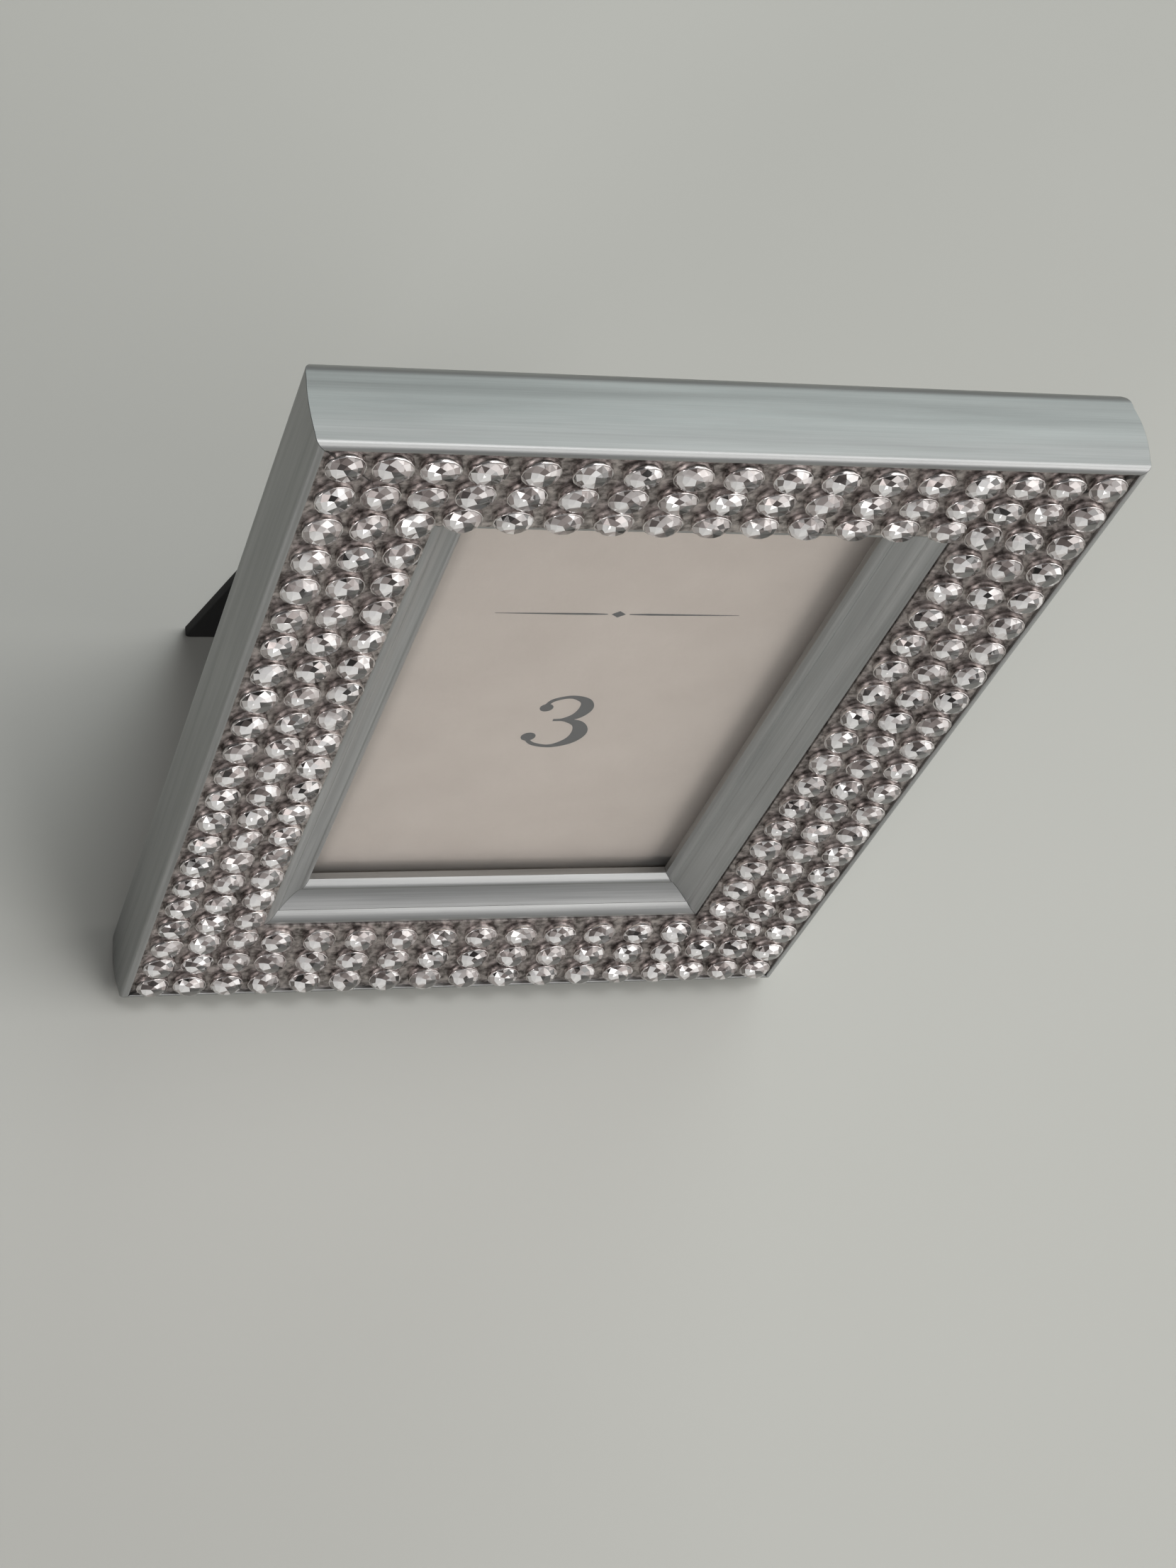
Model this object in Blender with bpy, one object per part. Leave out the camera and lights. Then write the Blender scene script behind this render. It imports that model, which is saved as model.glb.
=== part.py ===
import math

import bmesh
import bpy
from mathutils import Matrix, Vector

MM = 0.001

# Stones: the frame is as large as the rows of stones round it.
STONE_PITCH = 4.8 * MM
ROW_PITCH = 4.3 * MM
ROWS = 3
STONES_ACROSS = 11
STONES_DOWN = 22
STONE_R = 1.93 * MM
STONE_TABLE_R = 1.05 * MM
STONE_GIRDLE = 0.7 * MM
STONE_TALL = 1.9 * MM
STONE_SINK = 0.2 * MM
STONE_SIDES = 8
EDGE_TO_STONE = 3.45 * MM
SEAT_DEPTH = 0.63 * MM
BAND_SLOPE = math.radians(6.0)
STRIP_T = 0.5 * MM
STRIP_MARGIN = 0.07 * MM

# The gap left wherever one piece rests on or in another.
FIT = 0.3 * MM

# Section of the rails.
EDGE_R = 0.45 * MM
BACK_R = 1.8 * MM
SIDE_BULGE = 0.25 * MM
LIP_DROP = 0.2 * MM
NARROW_W = 1.05 * MM
NARROW_DROP = 0.85 * MM
GROOVE_W = 0.3 * MM
GROOVE_D = 0.25 * MM
COVE_W = 3.0 * MM
COVE_DROP = 2.1 * MM
COVE_SAG = 0.25 * MM
BEAD_W = 0.45 * MM
BEAD_DROP = 0.25 * MM
LIP_EDGE_T = 0.8 * MM
LIP_COVER = 4.4 * MM
CHANNEL_U = 2.7 * MM
CHANNEL_W = 3.0 * MM
CHANNEL_D = 1.7 * MM
PLATE_ARM = 14.0 * MM

# What lies in the rebate.
GLASS_T = 1.0 * MM
CARD_T = 0.3 * MM
BOARD_T = 1.3 * MM
BOARD_NOTCH_R = 5.0 * MM

# Turn buttons and the screws that they swing on.
BUTTON_U = 11.0 * MM
BUTTON_INSET = 31.0 * MM
BUTTON_REACH = 6.2 * MM
BUTTON_HEEL_R = 2.6 * MM
BUTTON_TIP_R = 1.7 * MM
BUTTON_T = 0.7 * MM
SCREW_R = 0.8 * MM
SCREW_DEPTH = 2.6 * MM
SCREW_HEAD_R = 1.7 * MM
SCREW_HEAD_T = 0.6 * MM

# Strut and its hinge.
LEAN = math.radians(16.5)
STRUT_OPEN = math.radians(19.9)
STRUT_T = 1.2 * MM
STRUT_W = 59.6 * MM
HINGE_DROP = 12.2 * MM
HINGE_L = 36.0 * MM
KNUCKLE_L = 12.0 * MM
KNUCKLE_R = 1.6 * MM
PIN_R = 0.8 * MM
LEAF_T = 0.7 * MM
RAIL_LEAF_H = 7.6 * MM
STRUT_LEAF_H = 8.6 * MM
RIVET_INSET = 6.0 * MM
RIVET_RISE = 4.9 * MM
RIVET_FALL = 5.6 * MM
RIVET_R = 0.65 * MM
RIVET_HEAD_R = 1.25 * MM
RIVET_HEAD_T = 0.5 * MM
RIVET_DEPTH = 2.0 * MM

# Distances in from the outer side of the frame.
strip_u0 = EDGE_TO_STONE - STONE_R - STRIP_MARGIN
strip_u1 = EDGE_TO_STONE + (ROWS - 1) * ROW_PITCH + STONE_R + STRIP_MARGIN
rim_u = strip_u0 - FIT
lip_u = strip_u1 + FIT
rail_w = lip_u + NARROW_W + GROOVE_W + COVE_W + BEAD_W
rebate_u = rail_w - LIP_COVER
column_u = EDGE_TO_STONE + ROWS * ROW_PITCH

frame_w = 2.0 * column_u + (STONES_ACROSS - 1) * STONE_PITCH
frame_h = 2.0 * EDGE_TO_STONE + (STONES_DOWN - 1) * STONE_PITCH

# Depths behind the rim.
slope = math.tan(BAND_SLOPE)
lip_y = SEAT_DEPTH + slope * (strip_u1 - EDGE_TO_STONE) + LIP_DROP
crease_y = lip_y + NARROW_DROP
under_y = crease_y + COVE_DROP + BEAD_DROP + LIP_EDGE_T
glass_y = under_y + FIT
card_y = glass_y + GLASS_T + FIT
board_y = card_y + CARD_T + FIT
frame_d = board_y + BOARD_T
button_y = frame_d + FIT
screw_y = button_y + BUTTON_T + FIT
strut_y = screw_y + SCREW_HEAD_T + FIT
pivot_y = frame_d + FIT + KNUCKLE_R
pivot_z = frame_h - HINGE_DROP
strut_in = strut_y - pivot_y
rivet_pitch = 0.5 * HINGE_L - RIVET_INSET

# The frame stands on the round of its lower back edge, and the strut's foot reaches the same level.
contact_z = (SIDE_BULGE + BACK_R) * math.cos(LEAN) - (frame_d - BACK_R) * math.sin(LEAN) - BACK_R
pivot_rise = pivot_z * math.cos(LEAN) - pivot_y * math.sin(LEAN) - contact_z
strut_heel = (KNUCKLE_R + strut_in * math.cos(STRUT_OPEN)) / math.sin(STRUT_OPEN)

for old in list(bpy.data.objects):
    bpy.data.objects.remove(old, do_unlink=True)

parts = bpy.data.collections.new("table_number_frame")
bpy.context.scene.collection.children.link(parts)
tools = bpy.data.collections.new("cutters")
bpy.context.scene.collection.children.link(tools)


def paint(name, colour, roughness, metallic=0.0, transmission=0.0):
    mat = bpy.data.materials.new(name)
    mat.use_nodes = True
    shader = mat.node_tree.nodes["Principled BSDF"]
    shader.inputs["Base Color"].default_value = (*colour, 1.0)
    shader.inputs["Roughness"].default_value = roughness
    shader.inputs["Metallic"].default_value = metallic
    shader.inputs["Transmission Weight"].default_value = transmission
    mat.diffuse_color = (*colour, 1.0)
    return mat


silver = paint("brushed silver", (0.62, 0.65, 0.68), 0.28, 1.0)
stone_paint = paint("rhinestone", (0.80, 0.84, 0.88), 0.08, 0.6)
glass_paint = paint("clear pane", (0.93, 0.96, 0.96), 0.03, 0.0, 1.0)
card_paint = paint("card", (0.66, 0.61, 0.58), 0.75)
board_paint = paint("black board", (0.022, 0.022, 0.024), 0.85)
strut_paint = paint("black strut", (0.016, 0.016, 0.018), 0.80)
steel = paint("hinge steel", (0.50, 0.51, 0.52), 0.32, 1.0)
zinc = paint("zinc plate", (0.58, 0.58, 0.57), 0.38, 1.0)


def empty(name, parent, location, turn):
    node = bpy.data.objects.new(name, None)
    node.empty_display_size = 0.01
    bpy.context.scene.collection.objects.link(node)
    node.parent = parent
    node.location = location
    node.rotation_euler = (turn, 0.0, 0.0)
    return node


def add_part(name, mesh, mat, parent, location=(0.0, 0.0, 0.0), turn=0.0):
    part = bpy.data.objects.new(name, mesh)
    mesh.name = name
    mesh.materials.clear()
    mesh.materials.append(mat)
    parts.objects.link(part)
    part.parent = parent
    part.location = location
    part.rotation_euler = (0.0, turn, 0.0)
    return part


def add_tool(name, mesh, parent, location=(0.0, 0.0, 0.0)):
    tool = bpy.data.objects.new(name, mesh)
    tools.objects.link(tool)
    tool.parent = parent
    tool.location = location
    tool.hide_render = True
    tool.display_type = "WIRE"
    return tool


def combine(part, tool, operation):
    mod = part.modifiers.new(operation.title() + " " + tool.name, "BOOLEAN")
    mod.operation = operation
    mod.solver = "EXACT"
    mod.object = tool


def finish_mesh(bm, name, smooth=False):
    bmesh.ops.remove_doubles(bm, verts=bm.verts, dist=1e-7)
    bmesh.ops.recalc_face_normals(bm, faces=bm.faces)
    for face in bm.faces:
        face.smooth = smooth
    mesh = bpy.data.meshes.new(name)
    bm.to_mesh(mesh)
    bm.free()
    return mesh


def arc(centre, radius, start, end, steps):
    points = []
    for i in range(steps + 1):
        angle = math.radians(start + (end - start) * i / steps)
        points.append((centre[0] + radius * math.cos(angle), centre[1] + radius * math.sin(angle)))
    return points


def ring(centre, radius, steps):
    return arc(centre, radius, 0.0, 360.0, steps)[:-1]


def flat_curve(name, outlines, thickness):
    curve = bpy.data.curves.new(name, "CURVE")
    curve.dimensions = "2D"
    curve.fill_mode = "BOTH"
    curve.extrude = 0.5 * thickness
    for outline in outlines:
        spline = curve.splines.new("POLY")
        spline.points.add(len(outline) - 1)
        for point, (a, b) in zip(spline.points, outline):
            point.co = (a, b, 0.0, 1.0)
        spline.use_cyclic_u = True
    shape = bpy.data.objects.new(name, curve)
    bpy.context.scene.collection.objects.link(shape)
    bpy.context.view_layer.update()
    filled = bpy.data.meshes.new_from_object(shape.evaluated_get(bpy.context.evaluated_depsgraph_get()))
    bpy.data.objects.remove(shape, do_unlink=True)
    bm = bmesh.new()
    bm.from_mesh(filled)
    bpy.data.meshes.remove(filled)
    return bm


def plate(name, outlines, thickness):
    # An outline across (x) and up (z), as thick as given either side of y = 0.
    bm = flat_curve(name, outlines, thickness)
    bm.transform(Matrix.Rotation(math.pi / 2.0, 4, "X"))
    return bm


def section(name, outlines, length):
    # An outline back (y) and up (z), run along x.
    bm = flat_curve(name, outlines, length)
    bm.transform(Matrix(((0, 0, 1, 0), (1, 0, 0, 0), (0, 1, 0, 0), (0, 0, 0, 1))))
    return bm


def turned(profile, steps):
    # A profile of radius and height turned about z, closed at both ends.
    bm = bmesh.new()
    verts = [bm.verts.new((r, 0.0, z)) for r, z in profile]
    edges = [bm.edges.new(pair) for pair in zip(verts[:-1], verts[1:])]
    bmesh.ops.spin(bm, geom=verts + edges, axis=(0.0, 0.0, 1.0), cent=(0.0, 0.0, 0.0),
                   angle=2.0 * math.pi, steps=steps, use_merge=True)
    bmesh.ops.remove_doubles(bm, verts=bm.verts, dist=1e-7)
    bmesh.ops.holes_fill(bm, edges=bm.edges, sides=0)
    return bm


back_turn = Matrix.Rotation(-math.pi / 2.0, 4, "X")


def turned_back(name, profile, steps):
    bm = turned(profile, steps)
    bm.transform(back_turn)
    return finish_mesh(bm, name)


def box(name, size):
    bm = bmesh.new()
    bmesh.ops.create_cube(bm, size=1.0, matrix=Matrix.Diagonal((*size, 1.0)))
    return finish_mesh(bm, name)


def seat_depth(u):
    return SEAT_DEPTH + slope * (u - EDGE_TO_STONE)


root = empty("table_number_frame_stand", None, (0.0, 0.0, 0.0), 0.0)
lean = empty("frame_lean", root, (0.0, 0.0, -contact_z), -LEAN)
swing = empty("strut_axis", lean, (0.0, pivot_y, pivot_z), STRUT_OPEN)


# Rails: one section, mitred at both ends of each length.
def rail_outline():
    floor_drop = STRIP_T + FIT
    outline = arc((EDGE_R, SIDE_BULGE + EDGE_R), EDGE_R, -90.0, -180.0, 4)
    outline.append((0.0, rim_u))
    outline.append((seat_depth(rim_u) + floor_drop, rim_u))
    outline.append((seat_depth(lip_u) + floor_drop, lip_u))
    outline.append((lip_y, lip_u))
    crease_u = lip_u + NARROW_W
    outline.append((crease_y, crease_u))
    outline.append((crease_y + GROOVE_D, crease_u + 0.5 * GROOVE_W))
    steps = 6
    for i in range(steps + 1):
        t = i / steps
        sag = COVE_SAG * 4.0 * t * (1.0 - t)
        outline.append((crease_y + COVE_DROP * t + sag, crease_u + GROOVE_W + COVE_W * t))
    outline.append((under_y - LIP_EDGE_T - 0.4 * BEAD_DROP, rail_w - 0.4 * BEAD_W))
    outline.append((under_y - LIP_EDGE_T, rail_w))
    outline.append((under_y, rail_w))
    outline.append((under_y, rebate_u))
    outline.append((frame_d, rebate_u))
    outline.append((frame_d, CHANNEL_U + CHANNEL_W))
    outline.append((frame_d - CHANNEL_D, CHANNEL_U + CHANNEL_W))
    outline.append((frame_d - CHANNEL_D, CHANNEL_U))
    outline.append((frame_d, CHANNEL_U))
    outline += arc((frame_d - BACK_R, SIDE_BULGE + BACK_R), BACK_R, 0.0, -90.0, 6)
    side_steps = 6
    for i in range(1, side_steps):
        t = 1.0 - i / side_steps
        outline.append((EDGE_R + (frame_d - BACK_R - EDGE_R) * t, SIDE_BULGE * (2.0 * t - 1.0) ** 2))
    return outline


def add_rail(name, length, location, turn):
    bm = section(name, [rail_outline()], length)
    for vert in bm.verts:
        vert.co.x -= math.copysign(vert.co.z + FIT / math.sqrt(2.0), vert.co.x)
    return add_part(name, finish_mesh(bm, name), silver, lean, location, turn)


bottom_rail = add_rail("bottom_rail", frame_w, (0.0, 0.0, 0.0), 0.0)
right_rail = add_rail("right_rail", frame_h, (0.5 * frame_w, 0.0, 0.5 * frame_h), -math.pi / 2.0)
top_rail = add_rail("top_rail", frame_w, (0.0, 0.0, frame_h), math.pi)
left_rail = add_rail("left_rail", frame_h, (-0.5 * frame_w, 0.0, 0.5 * frame_h), math.pi / 2.0)


# Corner plates in the channel behind the mitres.
def add_corner_plate(name, side, up):
    near = CHANNEL_U + FIT
    far = CHANNEL_U + CHANNEL_W - FIT
    ell = [(near, near), (near + PLATE_ARM, near), (near + PLATE_ARM, far),
           (far, far), (far, near + PLATE_ARM), (near, near + PLATE_ARM)]
    thick = CHANNEL_D - FIT
    outline = [(side * (0.5 * frame_w - a), b if up < 0 else frame_h - b) for a, b in ell]
    bm = plate(name, [outline], thick)
    add_part(name, finish_mesh(bm, name), zinc, lean, (0.0, frame_d - 0.5 * thick, 0.0))


add_corner_plate("corner_plate_tl", -1, 1)
add_corner_plate("corner_plate_tr", 1, 1)
add_corner_plate("corner_plate_bl", -1, -1)
add_corner_plate("corner_plate_br", 1, -1)


# Stone strips: a thin backing that follows the slope of the recess, with its stones on it.
def reaches(x, z):
    # How far a place on the front lies in from each side, with the way in from that side.
    return ((x + 0.5 * frame_w, Vector((1.0, 0.0, 0.0))),
            (0.5 * frame_w - x, Vector((-1.0, 0.0, 0.0))),
            (z, Vector((0.0, 0.0, 1.0))),
            (frame_h - z, Vector((0.0, 0.0, -1.0))))


def seat_point(x, z):
    return Vector((x, seat_depth(min(reach for reach, way in reaches(x, z))), z))


def seat_normal(x, z):
    # On the fold over a mitre the stone sits square between the two slopes.
    nearest = min(reach for reach, way in reaches(x, z))
    normal = Vector((0.0, 0.0, 0.0))
    for reach, way in reaches(x, z):
        if reach < nearest + 0.5 * STONE_R:
            normal += way * math.sin(BAND_SLOPE) + Vector((0.0, -math.cos(BAND_SLOPE), 0.0))
    return normal.normalized()


def add_strip(name, faces, places):
    bm = bmesh.new()
    made = {}
    for face in faces:
        corners = []
        for x, z in face:
            key = (round(x, 7), round(z, 7))
            if key not in made:
                made[key] = bm.verts.new(seat_point(x, z))
            corners.append(made[key])
        bm.faces.new(corners)
    grown = bmesh.ops.extrude_face_region(bm, geom=bm.faces[:])
    lower = [item for item in grown["geom"] if isinstance(item, bmesh.types.BMVert)]
    bmesh.ops.translate(bm, verts=lower, vec=(0.0, STRIP_T, 0.0))
    strip = add_part(name, finish_mesh(bm, name), stone_paint, lean)
    profile = [(STONE_R, -STONE_SINK), (STONE_R, STONE_GIRDLE), (STONE_TABLE_R, STONE_TALL)]
    one = finish_mesh(turned(profile, STONE_SIDES), name + " stone")
    stones = bmesh.new()
    for x, z in places:
        before = len(stones.verts)
        stones.from_mesh(one)
        stones.verts.ensure_lookup_table()
        turn = seat_normal(x, z).to_track_quat("Z", "X").to_matrix().to_4x4()
        bmesh.ops.transform(stones, matrix=Matrix.Translation(seat_point(x, z)) @ turn,
                            verts=stones.verts[before:])
    tool = add_tool(name + " stones", finish_mesh(stones, name + " stones"), lean)
    combine(strip, tool, "UNION")


def add_side_strip(name, side):
    inner = strip_u1 - strip_u0

    def place(u, z):
        return (side * (0.5 * frame_w - u), z)

    low = strip_u0
    high = frame_h - strip_u0
    faces = [(place(strip_u0, low), place(strip_u1, low + inner), place(strip_u1, high - inner),
              place(strip_u0, high)),
             (place(strip_u0, low), place(strip_u1, low), place(strip_u1, low + inner)),
             (place(strip_u0, high), place(strip_u1, high - inner), place(strip_u1, high))]
    places = [place(EDGE_TO_STONE + i * ROW_PITCH, EDGE_TO_STONE + j * STONE_PITCH)
              for i in range(ROWS) for j in range(STONES_DOWN)]
    add_strip(name, faces, places)


def add_end_strip(name, up):
    half = 0.5 * frame_w - column_u + STONE_R + STRIP_MARGIN

    def height(u):
        return frame_h - u if up > 0 else u

    faces = [((-half, height(strip_u0)), (half, height(strip_u0)),
              (half, height(strip_u1)), (-half, height(strip_u1)))]
    places = [((j - 0.5 * (STONES_ACROSS - 1)) * STONE_PITCH, height(EDGE_TO_STONE + i * ROW_PITCH))
              for i in range(ROWS) for j in range(STONES_ACROSS)]
    add_strip(name, faces, places)


add_side_strip("stone_strip_left", -1)
add_side_strip("stone_strip_right", 1)
add_end_strip("stone_strip_top", 1)
add_end_strip("stone_strip_bottom", -1)


# The pane, the card and the board that closes the back.
def rebate_outline():
    half_w = 0.5 * frame_w - rebate_u - FIT
    low = rebate_u + FIT
    high = frame_h - rebate_u - FIT
    return [(-half_w, low), (half_w, low), (half_w, high), (-half_w, high)]


def add_sheet(name, outline, mat, front, thickness):
    bm = plate(name, [outline], thickness)
    add_part(name, finish_mesh(bm, name), mat, lean, (0.0, front + 0.5 * thickness, 0.0))


add_sheet("glass_pane", rebate_outline(), glass_paint, glass_y, GLASS_T)
add_sheet("number_card", rebate_outline(), card_paint, card_y, CARD_T)
board_outline = rebate_outline()
notch = arc((0.0, board_outline[0][1]), BOARD_NOTCH_R, 180.0, 0.0, 12)
add_sheet("back_board", board_outline[:1] + notch + board_outline[1:], board_paint, board_y, BOARD_T)


# Turn buttons on the side rails, each on its own screw.
def button_outline():
    spread = math.degrees(math.acos((BUTTON_HEEL_R - BUTTON_TIP_R) / BUTTON_REACH))
    heel = arc((0.0, 0.0), BUTTON_HEEL_R, spread, 360.0 - spread, 10)
    tip = arc((BUTTON_REACH, 0.0), BUTTON_TIP_R, -spread, spread, 6)
    return heel + tip


screw_hole = SCREW_R + FIT
screw_profile = [(SCREW_R, frame_d - SCREW_DEPTH), (SCREW_R, screw_y), (SCREW_HEAD_R, screw_y),
                 (SCREW_HEAD_R, screw_y + 0.5 * SCREW_HEAD_T), (0.7 * SCREW_HEAD_R, screw_y + SCREW_HEAD_T)]
screw_bore = [(screw_hole, frame_d - SCREW_DEPTH - FIT), (screw_hole, frame_d + FIT)]


def add_button(number, side, up):
    x = side * (0.5 * frame_w - BUTTON_U)
    z = frame_h - BUTTON_INSET if up > 0 else BUTTON_INSET
    name = "turn_button_%d" % number
    bm = plate(name, [button_outline(), ring((0.0, 0.0), screw_hole, 12)], BUTTON_T)
    add_part(name, finish_mesh(bm, name), zinc, lean, (x, button_y + 0.5 * BUTTON_T, z),
             math.pi if side > 0 else 0.0)
    screw = "pivot_screw_%d" % number
    add_part(screw, turned_back(screw, screw_profile, 12), steel, lean, (x, 0.0, z))
    bore = add_tool(screw + " bore", turned_back(screw + " bore", screw_bore, 12), lean, (x, 0.0, z))
    combine(right_rail if side > 0 else left_rail, bore, "DIFFERENCE")


add_button(1, -1, 1)
add_button(2, 1, 1)
add_button(3, -1, -1)
add_button(4, 1, -1)


# Hinge: both leaves are run along the pin and notched for each other's knuckles.
def rail_leaf_outline():
    shoulder = KNUCKLE_R - LEAF_T
    begin = math.degrees(math.acos(-shoulder / KNUCKLE_R))
    outline = [(-KNUCKLE_R, RAIL_LEAF_H), (-shoulder, RAIL_LEAF_H)]
    return outline + arc((0.0, 0.0), KNUCKLE_R, begin, -180.0, 18)


def strut_leaf_outline():
    back = strut_in - FIT
    front = back - LEAF_T
    begin = -math.degrees(math.acos(back / KNUCKLE_R))
    end = 180.0 + math.degrees(math.acos(-front / KNUCKLE_R))
    outline = [(front, -STRUT_LEAF_H), (back, -STRUT_LEAF_H)]
    return outline + arc((0.0, 0.0), KNUCKLE_R, begin, end, 18)


def add_leaf(name, outline, parent, location, notches, rivet_z):
    bore = ring((0.0, 0.0), PIN_R + FIT, 12)
    leaf = add_part(name, finish_mesh(section(name, [outline, bore], HINGE_L), name), steel, parent, location)
    for i, (middle, width) in enumerate(notches):
        reach = 2.0 * (KNUCKLE_R + FIT)
        mesh = box("%s notch %d" % (name, i + 1), (width, reach, reach))
        tool = add_tool(mesh.name, mesh, parent, Vector(location) + Vector((middle, 0.0, 0.0)))
        combine(leaf, tool, "DIFFERENCE")
    for i in (-1, 0, 1):
        profile = [(RIVET_R + FIT, -4.0 * LEAF_T), (RIVET_R + FIT, LEAF_T)]
        mesh = turned_back("%s rivet hole %d" % (name, i + 2), profile, 10)
        tool = add_tool(mesh.name, mesh, parent, Vector(location) + Vector((i * rivet_pitch, 0.0, rivet_z)))
        combine(leaf, tool, "DIFFERENCE")
    return leaf


end_knuckle = 0.5 * (HINGE_L - KNUCKLE_L)
add_leaf("hinge_rail_leaf", rail_leaf_outline(), lean, (0.0, pivot_y, pivot_z),
         [(0.0, KNUCKLE_L + FIT)], RIVET_RISE)
end_middle = 0.5 * HINGE_L - 0.5 * end_knuckle + 0.5 * FIT
add_leaf("hinge_strut_leaf", strut_leaf_outline(), swing, (0.0, 0.0, 0.0),
         [(-end_middle, end_knuckle + 2.0 * FIT), (end_middle, end_knuckle + 2.0 * FIT)], -RIVET_FALL)

pin = turned([(PIN_R, -0.5 * HINGE_L - FIT), (PIN_R, 0.5 * HINGE_L + FIT)], 12)
pin.transform(Matrix.Rotation(math.pi / 2.0, 4, "Y"))
add_part("hinge_pin", finish_mesh(pin, "hinge_pin"), steel, lean, (0.0, pivot_y, pivot_z))

leaf_back = frame_d + FIT + LEAF_T
rail_rivet = [(RIVET_R, frame_d - RIVET_DEPTH), (RIVET_R, leaf_back + FIT),
              (RIVET_HEAD_R, leaf_back + FIT), (0.7 * RIVET_HEAD_R, leaf_back + FIT + RIVET_HEAD_T)]
rail_rivet_bore = [(RIVET_R + FIT, frame_d - RIVET_DEPTH - FIT), (RIVET_R + FIT, frame_d + FIT)]
strut_leaf_front = strut_in - FIT - LEAF_T
strut_back = strut_in + STRUT_T
strut_rivet = [(0.7 * RIVET_HEAD_R, strut_leaf_front - FIT - RIVET_HEAD_T), (RIVET_HEAD_R, strut_leaf_front - FIT),
               (RIVET_R, strut_leaf_front - FIT), (RIVET_R, strut_back + FIT),
               (RIVET_HEAD_R, strut_back + FIT), (0.7 * RIVET_HEAD_R, strut_back + FIT + RIVET_HEAD_T)]
for i in (-1, 0, 1):
    x = i * rivet_pitch
    name = "rail_rivet_%d" % (i + 2)
    add_part(name, turned_back(name, rail_rivet, 10), steel, lean, (x, 0.0, pivot_z + RIVET_RISE))
    bore = add_tool(name + " bore", turned_back(name + " bore", rail_rivet_bore, 10), lean,
                    (x, 0.0, pivot_z + RIVET_RISE))
    combine(top_rail, bore, "DIFFERENCE")
    name = "strut_rivet_%d" % (i + 2)
    add_part(name, turned_back(name, strut_rivet, 10), steel, swing, (x, 0.0, -RIVET_FALL))

# Strut: shoulders either side of the hinge, and a foot cut level with the table.
foot_tilt = STRUT_OPEN - LEAN


def foot_z(y):
    return -(pivot_rise + y * math.sin(foot_tilt)) / math.cos(foot_tilt)


strut_mid = strut_in + 0.5 * STRUT_T
foot = foot_z(strut_mid)
hinge_half = 0.5 * HINGE_L + 2.0 * FIT
hinge_clear = -(KNUCKLE_R + 2.0 * FIT)
strut_half = 0.5 * STRUT_W
strut_outline = [(-strut_half, foot), (strut_half, foot), (strut_half, strut_heel), (hinge_half, strut_heel),
                 (hinge_half, hinge_clear), (-hinge_half, hinge_clear), (-hinge_half, strut_heel),
                 (-strut_half, strut_heel)]
rivet_holes = [ring((i * rivet_pitch, -RIVET_FALL), RIVET_R + FIT, 10) for i in (-1, 0, 1)]
strut_bm = plate("easel_strut", [strut_outline] + rivet_holes, STRUT_T)
for vert in strut_bm.verts:
    vert.co.y += strut_mid
    if vert.co.z < foot + FIT:
        vert.co.z = foot_z(vert.co.y)
add_part("easel_strut", finish_mesh(strut_bm, "easel_strut"), strut_paint, swing)

# The whole object stands with the middle of its footprint at the origin.
bpy.context.view_layer.update()
graph = bpy.context.evaluated_depsgraph_get()
low_y = 1.0
high_y = -1.0
for part in parts.objects:
    seen = part.evaluated_get(graph)
    for vert in seen.data.vertices:
        y = (seen.matrix_world @ vert.co).y
        low_y = min(low_y, y)
        high_y = max(high_y, y)
root.location.y = -0.5 * (low_y + high_y)
bpy.context.view_layer.update()
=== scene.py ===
import math

import bmesh
import bpy
from mathutils import Matrix, Vector


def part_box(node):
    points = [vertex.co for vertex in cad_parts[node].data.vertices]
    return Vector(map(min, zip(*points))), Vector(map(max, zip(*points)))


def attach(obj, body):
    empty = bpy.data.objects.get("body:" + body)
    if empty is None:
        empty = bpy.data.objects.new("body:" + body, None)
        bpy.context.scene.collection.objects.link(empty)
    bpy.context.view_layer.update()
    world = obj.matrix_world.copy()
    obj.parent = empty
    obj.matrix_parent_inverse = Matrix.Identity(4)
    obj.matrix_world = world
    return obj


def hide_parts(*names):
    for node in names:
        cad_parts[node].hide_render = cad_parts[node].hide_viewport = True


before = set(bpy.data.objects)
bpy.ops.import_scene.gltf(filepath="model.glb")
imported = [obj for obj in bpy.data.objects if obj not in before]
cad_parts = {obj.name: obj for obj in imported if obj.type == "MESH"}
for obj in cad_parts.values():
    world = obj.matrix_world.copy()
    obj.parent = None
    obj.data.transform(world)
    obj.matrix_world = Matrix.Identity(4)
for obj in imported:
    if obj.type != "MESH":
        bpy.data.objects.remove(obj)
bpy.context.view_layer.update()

mm = 0.001

# the frame leans back; inside "place" x runs right, y back from the rim and z up the frame
stand = {
    "lean": math.radians(16.5), "base": (0.0, -22.149 * mm, 2.005 * mm),
    "width": 80.7 * mm, "height": 107.7 * mm, "depth": 9.444 * mm,
}
place = Matrix.Translation(stand["base"]) @ Matrix.Rotation(-stand["lean"], 4, "X")
halfWidth = 0.5 * stand["width"]
halfHeight = 0.5 * stand["height"]

# inside "swing" the origin is the hinge pin and z runs up the opened strut
strutAxis = {"back": 11.344 * mm, "up": 95.5 * mm, "open": math.radians(19.9)}
pivot = place @ Matrix.Translation((0.0, strutAxis["back"], strutAxis["up"]))
swing = pivot @ Matrix.Rotation(strutAxis["open"], 4, "X")

quarter = math.pi / 2.0
flatToBack = Matrix.Rotation(quarter, 4, "X")  # a plate drawn in x and y stands up in x and z
rightWay, backWay, upWay = [Vector(row) for row in Matrix.Identity(3)]
weld = 1e-7  # vertices nearer than this are one


def standing(x, deep, z):
    return place @ Matrix.Translation((x, deep, z)) @ flatToBack


def fromEnd(distance, up):
    return stand["height"] - distance if up > 0 else distance


# nodes and sockets

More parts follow.
